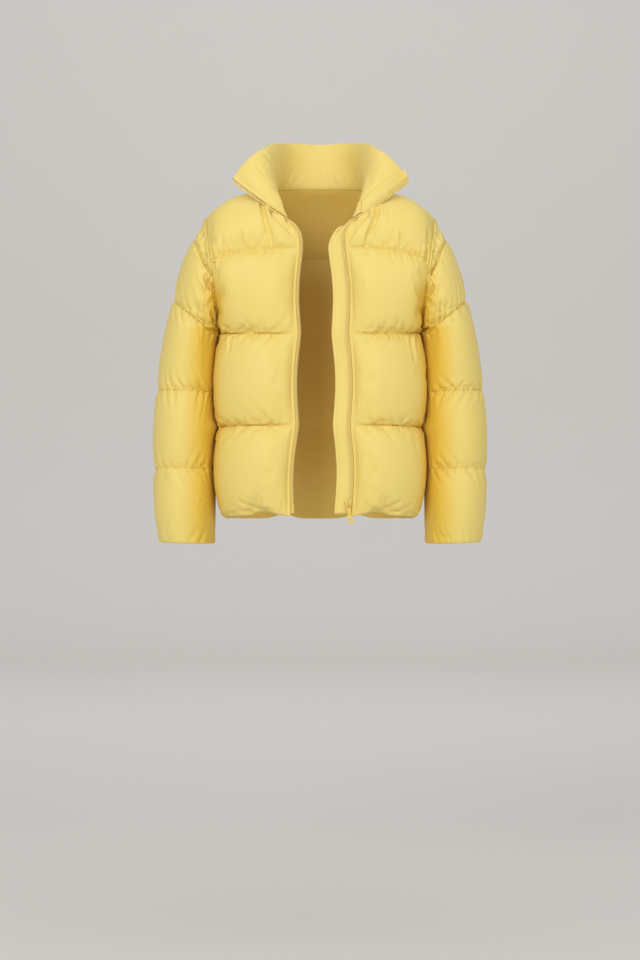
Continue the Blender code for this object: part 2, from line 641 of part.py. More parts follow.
def collar_edge(side, heights):
    """The same up the collar's front edge, from just over the neck seam to its corner."""
    rim = collar_base(side * np.array([1.9, 1.953, 2.0]), heights)
    along = rim[:, -1] - rim[:, -2]
    out = unit(np.cross(np.gradient(rim[:, -1], axis=0), along) * -side)
    across = unit(along - out * (along * out).sum(axis=1, keepdims=True))
    return Frames(TOP + heights, rim[:, -1], across, out)


def place(frames, index, across, out):
    return frames.point[index] + frames.across[index] * across + frames.out[index] * out


def row_at(z):
    """The row of the lowest baffle where the front edge has this height."""
    return (z - BODY_ROWS[0].z_front) / (BODY_ROWS[1].z_front - BODY_ROWS[0].z_front)


def rows_from(start):
    rows = baffle_rows(TOP, BAFFLE_STEPS)[:-1]
    return np.concatenate([[start], rows[rows > start + 0.02]])


def run_along(frames, sections):
    """A closed solid with one cross-section of (across, out) corners at each station of an edge."""
    return [[place(frames, i, *corner) for corner in section] for i, section in enumerate(sections)]


def build_tapes():
    ends = {RIGHT: PIN_TOP_Z, LEFT: SLIDER_Z - SLIDER_HEIGHT / 2}
    for side, word in ((RIGHT, "right"), (LEFT, "left")):
        edges = (
            (f"zip_tape_{word}", body_edge(side, rows_from(row_at(ends[side])))),
            (f"zip_tape_collar_{word}", collar_edge(side, COLLAR_HEIGHTS[1:])),
        )
        for name, frames in edges:
            swept(name, run_along(frames, [TAPE_SECTION] * len(frames.row)), ZIP_COLOUR)


def flap_section(root, reach):
    """From the root under the front band, back behind the zip and out to the free edge."""
    return (
        (root, FLAP_NEAR),
        (root + 0.0020, FLAP_NEAR),
        (root + 0.0042, FLAP_DEEP),
        (reach, FLAP_DEEP),
        (reach + 0.0007, FLAP_DEEP - FLAP_THICK / 2),
        (reach, FLAP_DEEP - FLAP_THICK),
        (root + 0.0036, FLAP_DEEP - FLAP_THICK),
        (root + 0.0014, FLAP_NEAR - FLAP_THICK),
        (root, FLAP_NEAR - FLAP_THICK),
    )


def build_flap():
    edges = (
        ("wind_flap", body_edge(LEFT, rows_from(0.02))),
        ("wind_flap_collar", collar_edge(LEFT, COLLAR_HEIGHTS[2:])),  # clear of the yoke
    )
    for name, frames in edges:
        knots = [edge.row for edge in FLAP_EDGES]
        root = np.interp(frames.row, knots, [edge.root for edge in FLAP_EDGES])
        reach = np.interp(frames.row, knots, [edge.reach for edge in FLAP_EDGES])
        swept(name, run_along(frames, [flap_section(*pair) for pair in zip(root, reach)]), SHELL_COLOUR)


def build_welts():
    rows = baffle_rows(TOP, BAFFLE_STEPS)
    on_welt = (rows > WELT_LOW) & (rows < WELT_HIGH)
    columns = [np.argmin(np.abs(FRONT_COLUMNS - share)) for share in (WELT_FROM, WELT_TO)]
    for side, word in ((RIGHT, "right"), (LEFT, "left")):
        outer = front_walls(FRONT_COLUMNS, rows, side)[0]
        normals = normals_of(outer) * side
        low, high = (
            [(outer + normals * lift)[on_welt][:, column] for column in columns]
            for lift in (SEAM_GAP, SEAM_GAP + WELT_THICK)
        )
        profiles = [[low[0][i], low[1][i], high[1][i], high[0][i]] for i in range(on_welt.sum())]
        swept(f"pocket_welt_{word}", profiles, SHELL_COLOUR)


# ---- slider, box, pin and pull ------------------------------------------------------------------------------
# Blocks in the zip's own frame: x to the wearer's left, y backwards, z up, from the slider's middle.
Block = namedtuple("Block", "x0 x1 y0 y1 z0 z1")
CHANNEL = 0.0035  # from the slider's middle to the middle of the teeth
PLATE_GAP, PLATE = 0.0021, 0.0013
PLATE_FACE = -PLATE_GAP - PLATE
ARCH_FACE, ARCH_BAR, ARCH_REACH, ARCH_HALF = -0.0071, 0.0011, 0.0045, 0.0010
PULL_AXIS_Y, PULL_AXIS_Z = -0.0047, -0.0020
PULL_TILT = math.radians(7)  # it hangs a little askew on its loose eye
EYE_BAR = 0.00065
HALF_SLIDER = SLIDER_HEIGHT / 2
BOX_ACROSS, HALF_BOX = (-0.0045, CHANNEL + 0.0028), 0.0019
PIN_ACROSS, HALF_PIN = (-0.0030, 0.0022), 0.0015
SLIDER_BLOCKS = (
    Block(-0.0060, 0.0060, PLATE_FACE, -PLATE_GAP, -HALF_SLIDER, HALF_SLIDER),
    Block(-0.0060, 0.0060, PLATE_GAP, PLATE_GAP + PLATE, -HALF_SLIDER, HALF_SLIDER),
    Block(-0.0009, 0.0009, -PLATE_GAP - 0.0005, PLATE_GAP + 0.0005, 0.0005, 0.0055),
    Block(-ARCH_HALF, ARCH_HALF, ARCH_FACE, -PLATE_GAP - 0.0005, ARCH_REACH - 0.0012, ARCH_REACH),
    Block(-ARCH_HALF, ARCH_HALF, ARCH_FACE, -PLATE_GAP - 0.0005, -ARCH_REACH, -ARCH_REACH + 0.0012),
    Block(-ARCH_HALF, ARCH_HALF, ARCH_FACE, ARCH_FACE + ARCH_BAR, -ARCH_REACH, ARCH_REACH),
)
# The pull, from its axis: neck and ring, then the window round the arch and the hole in the ring.
PULL_SOLID = (
    Block(-0.0038, 0.0038, -EYE_BAR, EYE_BAR, -0.0265, EYE_BAR),
    Block(-0.0062, 0.0062, -EYE_BAR, EYE_BAR, -0.0395, -0.0240),
)
PULL_CUTS = (
    Block(-0.0020, 0.0020, -0.002, 0.002, -0.0080, -EYE_BAR),
    Block(-0.0034, 0.0034, -0.002, 0.002, -0.0360, -0.0308),
)


def add_block(name, block):
    """A box object in its own mesh coordinates."""
    builder = bmesh.new()
    bmesh.ops.create_cube(builder, size=1)
    size = Vector((block.x1 - block.x0, block.y1 - block.y0, block.z1 - block.z0))
    middle = Vector((block.x0 + block.x1, block.y0 + block.y1, block.z0 + block.z1)) / 2
    matrix = Matrix.Translation(middle) @ Matrix.Diagonal(size).to_4x4()
    bmesh.ops.transform(builder, matrix=matrix, verts=builder.verts)
    mesh = bpy.data.meshes.new(name)
    builder.to_mesh(mesh)
    builder.free()
    part = bpy.data.objects.new(name, mesh)
    bpy.context.collection.objects.link(part)
    return part


def fused(name, solid, cuts, frame, colour):
    """Blocks joined and cut into one object that stands in this frame."""
    part = add_block(name, solid[0])
    for operation, blocks in (("UNION", solid[1:]), ("DIFFERENCE", cuts)):
        for block in blocks:
            helper = add_block(f"{name}_helper", block)
            helper.matrix_world = frame
            helper.hide_render = True
            helper.display_type = "WIRE"
            step = part.modifiers.new(operation.title(), "BOOLEAN")
            step.operation = operation
            step.object = helper
    part.matrix_world = frame
    part.data.materials.append(shade(name, colour, 0.4))
    return part


def frame_matrix(origin, right, up):
    """The place and turn of a frame whose x runs along `right` and whose z is as near to `up` as it can be."""
    right = unit(right)
    up = unit(up - right * np.dot(right, up))
    axes = Matrix([list(right), list(np.cross(up, right)), list(up)]).transposed().to_4x4()
    return Matrix.Translation(Vector(origin)) @ axes


def zip_frame(side, z, away):
    """The frame of a zip piece whose middle is at height z, this far from the teeth towards the middle."""
    rows = np.array([row_at(z) - 0.03, row_at(z), row_at(z) + 0.03])
    edge = front_base(FRONT_COLUMNS, rows, side)[:, 0]
    origin = edge[1] + np.array([-side * (TAPE_TO_TEETH + away), -MID_WALL, 0])
    return frame_matrix(origin, np.array([1.0, 0.0, 0.0]), edge[2] - edge[0])


def build_zip_ends():
    slider_frame = zip_frame(LEFT, SLIDER_Z, CHANNEL)
    fused("zip_slider", SLIDER_BLOCKS, (), slider_frame, PULL_COLOUR)
    top = -HALF_SLIDER - TRIM_GAP
    box = Block(*BOX_ACROSS, -HALF_BOX, HALF_BOX, top - BOX_HEIGHT, top)
    fused("zip_box", (box,), (), slider_frame, PULL_COLOUR)
    pin_frame = zip_frame(RIGHT, PIN_TOP_Z, 0.0)
    pin = Block(*PIN_ACROSS, -HALF_PIN, HALF_PIN, -PIN_HEIGHT, -TRIM_GAP)
    fused("zip_pin", (pin,), (), pin_frame, ZIP_COLOUR)
    axis_at = slider_frame @ Vector((0, PULL_AXIS_Y, PULL_AXIS_Z))
    right = slider_frame.to_3x3() @ Vector((math.cos(PULL_TILT), 0, math.sin(PULL_TILT)))
    pull_frame = frame_matrix(np.array(axis_at), np.array(right), np.array([0.0, 0.0, 1.0]))
    fused("pull_tab", PULL_SOLID, PULL_CUTS, pull_frame, PULL_COLOUR)


def clear_scene():
    for item in list(bpy.data.objects):
        bpy.data.objects.remove(item, do_unlink=True)


clear_scene()
build_panels()
build_tapes()
build_flap()
build_welts()
build_zip_ends()
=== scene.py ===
"""A quilted puffer jacket with its cloth, filling, zip and stitching, built over the solid model of the same jacket."""

import json
import math
from collections import namedtuple

import bmesh
import bpy
import numpy as np
from mathutils import Matrix, Vector

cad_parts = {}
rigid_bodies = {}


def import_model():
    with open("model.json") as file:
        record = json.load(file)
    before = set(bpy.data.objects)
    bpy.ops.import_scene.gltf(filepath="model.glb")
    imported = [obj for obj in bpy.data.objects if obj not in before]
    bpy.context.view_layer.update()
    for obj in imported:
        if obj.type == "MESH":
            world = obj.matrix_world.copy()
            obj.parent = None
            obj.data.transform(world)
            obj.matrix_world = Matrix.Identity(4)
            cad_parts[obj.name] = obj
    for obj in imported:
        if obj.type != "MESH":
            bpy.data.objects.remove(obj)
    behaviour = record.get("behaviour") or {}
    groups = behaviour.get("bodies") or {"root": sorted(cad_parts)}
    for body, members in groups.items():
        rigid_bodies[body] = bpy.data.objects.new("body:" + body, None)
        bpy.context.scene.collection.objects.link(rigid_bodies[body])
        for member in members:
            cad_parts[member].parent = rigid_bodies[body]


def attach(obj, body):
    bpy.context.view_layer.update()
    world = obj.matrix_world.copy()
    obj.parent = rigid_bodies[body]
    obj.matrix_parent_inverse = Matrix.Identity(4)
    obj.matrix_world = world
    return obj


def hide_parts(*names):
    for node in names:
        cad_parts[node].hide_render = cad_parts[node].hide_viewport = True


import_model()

bl_info = {
    "name": "Puffer jacket",
    "version": (1, 0, 0),
    "blender": (4, 5, 0),
    "location": "3D View > Sidebar > Jacket",
    "description": "Builds a quilted puffer jacket with its zip, stitching and a plain stage",
    "category": "Add Mesh",
}

# ---- driving sizes ---------------------------------------------------------------------------------------
WALL = 0.003  # shell, lining and pressed wadding at a seam
SEAM_GAP = 0.0003
BAND = 0.0062  # flat topstitched strip between the front baffles and the zip
TAPE_TO_TEETH = 0.0048  # from the finished front edge to the middle of the teeth
EDGE_PULL = 0.006  # the filled baffles draw the front edges back by this between two quilting lines
NECK_EDGE_BOW = 0.008  # over the chest line the front edges bow towards the middle by this
SECTION_POWER = 2.6  # squareness of the body's level sections

RIGHT, LEFT = -1, 1

# Level rows of the body. z at the front edge, the side and the middle of the back; the half width and the
# depths of the level section there; how far each zip stands from the middle.
BodyRow = namedtuple("BodyRow", "name z_front z_side z_back half_width front back zip_right zip_left")
BODY_ROWS = (
    BodyRow("hem", -0.646, -0.652, -0.655, 0.191, 0.124, 0.124, 0.0540, 0.0585),
    BodyRow("low line", -0.464, -0.468, -0.470, 0.200, 0.129, 0.124, 0.0438, 0.0560),
    BodyRow("waist line", -0.281, -0.268, -0.280, 0.198, 0.129, 0.120, 0.0396, 0.0531),
    BodyRow("chest line", -0.109, -0.124, -0.112, 0.290, 0.122, 0.122, 0.0356, 0.0463),
)
TOP = len(BODY_ROWS)  # v of the shoulder seams and the neckline

# The armhole is an ellipse in a leaning plane: x grows with z by ARMHOLE_LEAN.
ARMHOLE_X, ARMHOLE_Z = 0.2175, -0.154
ARMHOLE_DEPTH, ARMHOLE_HEIGHT = 0.098, 0.114
ARMHOLE_LEAN = 0.1272
CHEST_LINE_ANGLE = math.radians(80)  # where the chest line meets the armhole, from its top

# The neck seam, and the collar's free rim above it: 0 is the middle of the back, 1 the shoulder, 2 the front.
NeckPoint = namedtuple("NeckPoint", "place x y z")
NECK_SEAM = (
    NeckPoint(0.0, 0.000, 0.078, 0.028),
    NeckPoint(0.5, 0.066, 0.056, 0.025),
    NeckPoint(1.0, 0.093, 0.000, 0.014),
    NeckPoint(1.5, 0.089, -0.068, -0.014),
    NeckPoint(2.0, 0.0650, -0.113, -0.049),
)
COLLAR_RIM = (
    NeckPoint(0.0, 0.000, 0.100, 0.126),
    NeckPoint(0.5, 0.066, 0.070, 0.126),
    NeckPoint(1.0, 0.104, -0.010, 0.111),
    NeckPoint(1.25, 0.118, -0.042, 0.098),
    NeckPoint(1.5, 0.136, -0.062, 0.081),
    NeckPoint(1.75, 0.155, -0.074, 0.059),
    NeckPoint(2.0, 0.175, -0.080, 0.034),
)
FRONT_NECK_SHARE = 0.45  # share of a front's top row that is neckline; the rest is shoulder seam
BACK_NECK_SHARE = 0.46
CORNER_SOFT = 0.5  # the neck corner spreads over this share of the panel on its way down to the chest line
CORNER_WINDOW = np.linspace(-1, 1, 9)
ZIP_ROOM = 0.15  # nearer the zip than this share a front keeps its straight lines

# Rings of a sleeve below its cap line: outermost and innermost point, middle and half depth.
SleeveRing = namedtuple("SleeveRing", "name out_x out_z in_x in_z y half_depth")
SLEEVE_RINGS = (
    SleeveRing("upper line", 0.2950, -0.212, 0.2085, -0.287, -0.002, 0.081),
    SleeveRing("elbow line", 0.3260, -0.391, 0.2108, -0.395, -0.004, 0.074),
    SleeveRing("forearm line", 0.3330, -0.549, 0.2148, -0.550, -0.010, 0.068),
    SleeveRing("cuff", 0.3255, -0.701, 0.2140, -0.703, -0.016, 0.061),
)
CAP_LINE_SHARE, CAP_LINE_RISE = 0.12, 0.15  # the cap line's way from armhole to upper line, below and on top
CAP_LINE_SWELL = 0.007  # how far the sleeve head stands out over that line

# Body and sleeve press on each other along this surface: its |x| at some heights, growing with |y|.
SideContact = namedtuple("SideContact", "z x")
SIDE_CONTACT = (
    SideContact(-0.700, 0.2125),
    SideContact(-0.550, 0.2115),
    SideContact(-0.390, 0.2075),
    SideContact(-0.300, 0.2048),
)
CONTACT_SPREAD = 4.0  # per metre
CONTACT_CLEAR = 0.0012
CONTACT_SOFT = 0.002

# How far the filling lifts each baffle over its quilting lines, from the hem or the armhole on.
BODY_PUFF = (0.026, 0.025, 0.023, 0.019)
BACK_PUFF = (0.026, 0.025, 0.023, 0.020)
SLEEVE_PUFF = (0.008, 0.012, 0.014, 0.012, 0.010)
COLLAR_PUFF = 0.012
COLLAR_RIM_PUFF = 0.35  # share of the puff that is left at the collar's rolled rim
YOKE_BOW = 0.028
BACK_YOKE_BOW = 0.020
EDGE_FADE = 0.045  # the filling reaches its full height this far from a seam
SIDE_FADE = 0.75  # and further from the side seam and armhole, where the arm presses
PANEL_WIDTH, BAFFLE_HEIGHT = 0.20, 0.18  # about a front's width from zip to side, and a baffle's height
WALL_TURN = 0.025  # near an edge the wall turns into the seam's plane over this
FOLD_ROOM = 0.010  # a fold reaches its depth where the filling is this high
TOP_ROOM = 0.08  # height over which a panel's last row fills, so that it lies clear under the collar

# Soft troughs in a front: from a point to a point in (share from zip to side, row), then depth and half width.
Fold = namedtuple("Fold", "name u0 v0 u1 v1 depth half_width")
FRONT_FOLDS = (
    Fold("gather by the zip", 0.10, 3.98, 0.05, 3.25, 0.010, 0.010),
    Fold("gather under the collar", 0.26, 3.97, 0.17, 3.35, 0.009, 0.012),
    Fold("armhole crease", 0.97, 3.70, 0.99, 3.05, 0.006, 0.012),
    Fold("hem tuck", 0.40, 0.02, 0.25, 0.22, 0.008, 0.014),
)
HEM_LIFT, HEM_LIFT_X, HEM_LIFT_WIDTH = 0.009, 0.112, 0.024
BACK_HEM_LIFT_X = 0.075

# ---- curves and small sums --------------------------------------------------------------------------------
def smooth_curve(table, places):
    """Points of a table of NeckPoint at these places, on a smooth curve (cubic Hermite, so that it passes each)."""
    knots = np.array([row.place for row in table])
    points = np.array([(row.x, row.y, row.z) for row in table])
    slopes = np.gradient(points, knots, axis=0)
    slopes[0, 1:] = 0  # level and square across the middle of the back
    places = np.asarray(places, float)
    i = np.clip(np.searchsorted(knots, places, side="right") - 1, 0, len(knots) - 2)
    step = (knots[i + 1] - knots[i])[..., None]
    s = (places[..., None] - knots[i][..., None]) / step
    return (
        points[i] * (1 + 2 * s) * (1 - s) ** 2
        + points[i + 1] * s**2 * (3 - 2 * s)
        + slopes[i] * step * s * (1 - s) ** 2
        + slopes[i + 1] * step * s**2 * (s - 1)
    )


def neck_seam(places):
    """The neck seam; a negative place is on the wearer's right."""
    points = smooth_curve(NECK_SEAM, np.abs(places))
    points[..., 0] *= np.sign(places)
    return points


def collar_rim(places):
    points = smooth_curve(COLLAR_RIM, np.abs(places))
    points[..., 0] *= np.sign(places)
    return points


def armhole(angle, side):
    """The armhole seam: 0 is the shoulder, a quarter turn the front, a half turn the armpit."""
    rise = ARMHOLE_HEIGHT * np.cos(angle)
    x = side * (ARMHOLE_X + ARMHOLE_LEAN * rise)
    return np.stack([x, -ARMHOLE_DEPTH * np.sin(angle), ARMHOLE_Z + rise], axis=-1)


def unit(vectors):
    return vectors / np.maximum(np.linalg.norm(vectors, axis=-1, keepdims=True), 1e-9)


def mix(a, b, share):
    return a * (1 - share) + b * share


def soft_step(values, low, high):
    s = np.clip((values - low) / (high - low), 0, 1)
    return s * s * (3 - 2 * s)


def rounded(share, power):
    """A crown over 0 to 1: 0 at both ends, 1 in the middle, steeper at its ends for a smaller power."""
    return np.clip(4 * share * (1 - share), 0, 1) ** power


def edge_fade(distance):
    """How full the filling is at this distance from a seam."""
    near = 1 - np.clip(distance / EDGE_FADE, 0, 1)
    return (1 - near**2) ** 0.75


def level_section(half_width, depth, x_from, x_to, shares):
    """(x, y) along a level quarter section, at these shares of its length from x_from to x_to; y is forwards."""
    turn = [math.asin(min(1, x / half_width) ** (SECTION_POWER / 2)) for x in (x_from, x_to)]
    angles = np.linspace(*turn, 241)
    x = half_width * np.sin(angles) ** (2 / SECTION_POWER)
    y = depth * np.clip(np.cos(angles), 0, 1) ** (2 / SECTION_POWER)
    length = np.concatenate([[0], np.cumsum(np.hypot(np.diff(x), np.diff(y)))])
    at = np.asarray(shares) * length[-1]
    return np.interp(at, length, x), np.interp(at, length, y)


# ---- the body's base surface, at the quilting lines' level -------------------------------------------------
def zip_place(row, side):
    return row.zip_left if side == LEFT else row.zip_right


def hem_lift(x, middle):
    return HEM_LIFT * np.exp(-(((np.abs(x) - middle) / HEM_LIFT_WIDTH) ** 2))


def shoulder_line(shares, side):
    """From the neck to the top of the armhole, bowed up a little."""
    high = neck_seam(side * 1.0)
    tip = armhole(0.0, side)
    line = mix(high, tip, shares[..., None])
    line[..., 2] += 0.008 * rounded(shares, 1)
    return line


def front_row(index, shares, side):
    """A front's row from the zip (share 0) to the side seam or armhole (share 1)."""
    if index == TOP:
        on_neck = 2 - np.clip(shares / FRONT_NECK_SHARE, 0, 1)
        on_shoulder = np.clip((shares - FRONT_NECK_SHARE) / (1 - FRONT_NECK_SHARE), 0, 1)
        neck = neck_seam(side * on_neck)
        return np.where((shares <= FRONT_NECK_SHARE)[..., None], neck, shoulder_line(on_shoulder, side))
    row = BODY_ROWS[index]
    start = zip_place(row, side) + TAPE_TO_TEETH
    end = min(row.half_width, abs(armhole(CHEST_LINE_ANGLE, side)[0]))
    x, y = level_section(row.half_width, row.front, start, end, shares)
    z = mix(row.z_front, row.z_side, shares**3)
    if index == 0:
        z = z + hem_lift(x, HEM_LIFT_X)
    return np.stack([side * x, -y, z], axis=-1)


def back_row(index, shares):
    """The back's row from the wearer's right side (share -1) to the left (share 1)."""
    near = np.abs(shares)
    if index == TOP:
        neck = neck_seam(np.where(shares < 0, -1, 1) * np.clip(near / BACK_NECK_SHARE, 0, 1))
        shoulder = np.clip((near - BACK_NECK_SHARE) / (1 - BACK_NECK_SHARE), 0, 1)
        line = shoulder_line(shoulder, LEFT)
        line[..., 0] *= np.where(shares < 0, -1, 1)
        return np.where((near <= BACK_NECK_SHARE)[..., None], neck, line)
    row = BODY_ROWS[index]
    end = min(row.half_width, abs(armhole(CHEST_LINE_ANGLE, LEFT)[0]))
    x, y = level_section(row.half_width, row.back, 0.0, end, near)
    z = mix(row.z_back, row.z_side, near**2)
    if index == 0:
        z = z + hem_lift(x, BACK_HEM_LIFT_X)
    return np.stack([np.where(shares < 0, -x, x), y, z], axis=-1)


def armhole_angle(rows):
    """The armhole's angle for rows from the waist line (armpit) over the chest line to the top."""
    return np.interp(rows, [2, 3, TOP], [math.pi, CHEST_LINE_ANGLE, 0.0])


def side_edge(rows, side, facing):
    """The side seam up to the armpit, then the armhole; facing is 1 for the front half and -1 for the back."""
    low = np.array([(side * row.half_width, 0, row.z_side) for row in BODY_ROWS[:3]])
    seam = np.stack([np.interp(rows, range(3), low[:, axis]) for axis in range(3)], axis=-1)
    ring = armhole(armhole_angle(rows), side)
    ring[..., 1] *= facing
    return np.where((rows <= 2)[:, None], seam, ring)


def lofted(row_function, shares, rows, room):
    """Straight between neighbouring rows: an array [row, share, xyz]; room is each share's way to the edge."""
    lines = [row_function(index, shares) for index in range(TOP)]
    points = []
    for row in rows:
        low = min(int(row), TOP - 1)
        high = lines[low + 1] if low < TOP - 1 else None
        if high is None:
            spread = np.minimum(CORNER_SOFT * (TOP - row), room)
            high = np.mean([row_function(TOP, shares + spread * k) for k in CORNER_WINDOW], axis=0)
        points.append(mix(lines[low], high, row - low))
    return np.stack(points)


def yoke_crown(shares, rows, edge_zero):
    """1 in the middle of the yoke, over the chest line, and 0 on its edges."""
    over = np.clip(rows - (TOP - 1), 0, 1)
    return rounded(over, 1.3)[:, None] * edge_zero[None, :]


def front_base(shares, rows, side):
    room = np.clip(np.minimum(shares - ZIP_ROOM, 1 - shares), 0, None)
    points = lofted(lambda index, at: front_row(index, at, side), shares, rows, room)
    points += (shares[None, :] ** 2.5)[..., None] * (side_edge(rows, side, 1)[:, None] - points[:, -1:])
    pulled = np.where(rows < TOP - 1, EDGE_PULL, -NECK_EDGE_BOW) * rounded(rows % 1, 1.5)
    pull = (1 - shares[None, :]) ** 8 * pulled[:, None]
    points[..., 0] += side * pull
    points[..., 1] += 0.5 * pull
    crown = yoke_crown(shares, rows, np.sin(math.pi * shares**1.4) ** 0.9) * YOKE_BOW
    return points + crown[..., None] * np.array([0, -0.6, 0.8])


def back_base(shares, rows):
    points = lofted(back_row, shares, rows, 1 - np.abs(shares))
    for side, column in ((RIGHT, 0), (LEFT, -1)):
        reach = np.clip(side * shares, 0, 1)[None, :] ** 4
        points += reach[..., None] * (side_edge(rows, side, -1) - points[:, column])[:, None]
    crown = yoke_crown(shares, rows, np.cos(math.pi / 2 * shares) ** 0.5) * BACK_YOKE_BOW
    return points + crown[..., None] * np.array([0, 0.75, 0.66])


# ---- from base to wall -------------------------------------------------------------------------------------
def normals_of(points, closed=False):
    """Unit normals of a grid, from the differences of neighbouring points."""
    if closed:
        along = np.roll(points, -1, axis=1) - np.roll(points, 1, axis=1)
    else:
        along = np.gradient(points, axis=1)
    return unit(np.cross(along, np.gradient(points, axis=0)))


def contact_x(y, z):
    """|x| of the surface where body and sleeve press on each other, up to the armhole's plane."""
    pit = ARMHOLE_Z - ARMHOLE_HEIGHT
    heights = [row.z for row in SIDE_CONTACT] + [pit, 0.0]
    places = [row.x for row in SIDE_CONTACT] + [ARMHOLE_X + ARMHOLE_LEAN * (h - ARMHOLE_Z) for h in (pit, 0.0)]
    turn = np.clip((z - ARMHOLE_Z) / ARMHOLE_HEIGHT, -1, 1)
    ring_y = ARMHOLE_DEPTH * np.sqrt(1 - turn**2)
    return np.interp(z, heights, places) + CONTACT_SPREAD * np.clip(np.abs(y) - ring_y, 0, None) ** 2


def keep_inside(points, margin):
    """Body points, kept softly on the wearer's side of the contact surface."""
    limit = contact_x(points[..., 1], points[..., 2]) - margin
    over = CONTACT_SOFT * np.logaddexp(0, (np.abs(points[..., 0]) - limit) / CONTACT_SOFT)
    points = points.copy()
    points[..., 0] -= np.sign(points[..., 0]) * over
    return points


def keep_outside(points, margin):
    """Sleeve points, kept softly on the far side of the contact surface."""
    limit = contact_x(points[..., 1], points[..., 2]) + margin
    under = CONTACT_SOFT * np.logaddexp(0, (limit - np.abs(points[..., 0])) / CONTACT_SOFT)
    points = points.copy()
    points[..., 0] += np.sign(points[..., 0]) * under
    return points


def fold_depth(folds, shares, rows):
    """How deep the folds lie at each grid point of a front."""
    scale = np.array([PANEL_WIDTH, BAFFLE_HEIGHT])
    depth = np.zeros((len(rows), len(shares)))
    u, v = np.meshgrid(shares * PANEL_WIDTH, rows * BAFFLE_HEIGHT)
    for fold in folds:
        a = np.array([fold.u0, fold.v0]) * scale
        run = np.array([fold.u1, fold.v1]) * scale - a
        along = np.clip(((u - a[0]) * run[0] + (v - a[1]) * run[1]) / (run @ run), 0, 1)
        off = np.hypot(u - a[0] - along * run[0], v - a[1] - along * run[1])
        depth += fold.depth * (1 - 0.6 * along) * np.exp(-((off / fold.half_width) ** 2))
    return depth


def row_puff(rows, lifts):
    """The crown of each baffle, a little fuller below its middle."""
    index = np.clip(np.floor(rows).astype(int), 0, len(lifts) - 1)
    share = rows - index
    return np.array(lifts)[index] * rounded(share**0.9, 0.55) * edge_fade((len(lifts) - rows) * TOP_ROOM)


def to_neck(points):
    """Level unit vectors from points of the neck seam towards the neck's middle, straight back at the front."""
    sideways = soft_step(points[..., 1], NECK_SEAM[-1].y, NECK_SEAM[-2].y)
    return unit(np.stack([-points[..., 0] * sideways, -points[..., 1], 0 * sideways], axis=-1))


def side_inward(normals, shares, rows, side, facing):
    """From the shell to the inside: against the normal, and in the seam's own plane on the side and armhole."""
    angle = armhole_angle(rows)
    ring = np.stack([0 * angle, facing * np.sin(angle), -np.cos(angle)], axis=-1)
    level = np.array([[-side, 0.0, 0.0]])
    on_edge = np.where((rows < 2)[:, None], level, ring)
    near = 1 - soft_step((1 - np.abs(shares)) * PANEL_WIDTH, 0.0, WALL_TURN)
    return mix(-normals, on_edge[:, None], near[None, :, None])


def turn_ends(inward, base, shares, rows, neck_share):
    """The wall's edge lies level at the hem and on the neckline, and hangs down on the shoulder seam."""
    on_shoulder = soft_step(np.abs(shares), neck_share - 0.02, neck_share + 0.06)[:, None]
    edge = unit(mix(to_neck(base[-1]), np.array([0.0, 0.0, -1.0]), on_shoulder))
    near_top = (1 - soft_step((TOP - rows) * BAFFLE_HEIGHT, 0.0, WALL_TURN))[:, None, None]
    near_hem = (1 - soft_step(rows * BAFFLE_HEIGHT, 0.0, WALL_TURN))[:, None]
    inward = mix(inward, edge[None], near_top)
    inward[..., 2] *= 1 - near_hem
    return unit(inward)


def body_skins(base, normals, inward, lift):
    """(outer, inner) grids of a body panel, clear of the sleeves."""
    outer = keep_inside(base + normals * lift[..., None], CONTACT_CLEAR)
    inner = keep_inside(base + inward * WALL, CONTACT_CLEAR + WALL)
    return outer, inner


def set_side_edge(skins, base, inward, column, side):
    """The side seam and the armhole keep their place, half a seam's gap on the wearer's side."""
    gap = np.array([side * SEAM_GAP / 2, 0, 0])
    skins[0][:, column] = base[:, column] - gap
    skins[1][:, column] = base[:, column] + inward[:, column] * WALL - gap


def front_walls(shares, rows, side):
    """(outer, inner) grids of a front."""
    base = front_base(shares, rows, side)
    normals = normals_of(base) * side
    lift = row_puff(rows, BODY_PUFF)[:, None] * edge_fade(shares * PANEL_WIDTH - BAND)[None, :]
    lift = lift * edge_fade((1 - shares) * PANEL_WIDTH * SIDE_FADE)[None, :]
    lift -= fold_depth(FRONT_FOLDS, shares, rows) * np.clip(lift / FOLD_ROOM, 0, 1)
    inward = side_inward(normals, shares, rows, side, 1)
    by_zip = (1 - soft_step(shares * PANEL_WIDTH, 0.0, 2 * BAND))[None, :, None]
    inward = mix(inward, np.array([0.0, 1.0, 0.0]), by_zip)
    inward = turn_ends(inward, base, shares, rows, FRONT_NECK_SHARE)
    skins = body_skins(base, normals, inward, lift)
    set_side_edge(skins, base, inward, -1, side)
    return [skin - np.array([0, SEAM_GAP / 2, 0]) for skin in skins]


def back_walls(shares, rows):
    """(outer, inner) grids of the back."""
    base = back_base(shares, rows)
    normals = -normals_of(base)
    lift = row_puff(rows, BACK_PUFF)[:, None] * edge_fade((1 - np.abs(shares)) * PANEL_WIDTH * SIDE_FADE)[None, :]
    inward = -normals
    for side in (RIGHT, LEFT):
        half = np.where(side * shares > 0)[0]
        inward[:, half] = side_inward(normals[:, half], shares[half], rows, side, -1)
    inward = turn_ends(inward, base, shares, rows, BACK_NECK_SHARE)
    skins = body_skins(base, normals, inward, lift)
    for side, column in ((RIGHT, 0), (LEFT, -1)):
        set_side_edge(skins, base, inward, column, side)
    return [skin + np.array([0, SEAM_GAP / 2, 0]) for skin in skins]


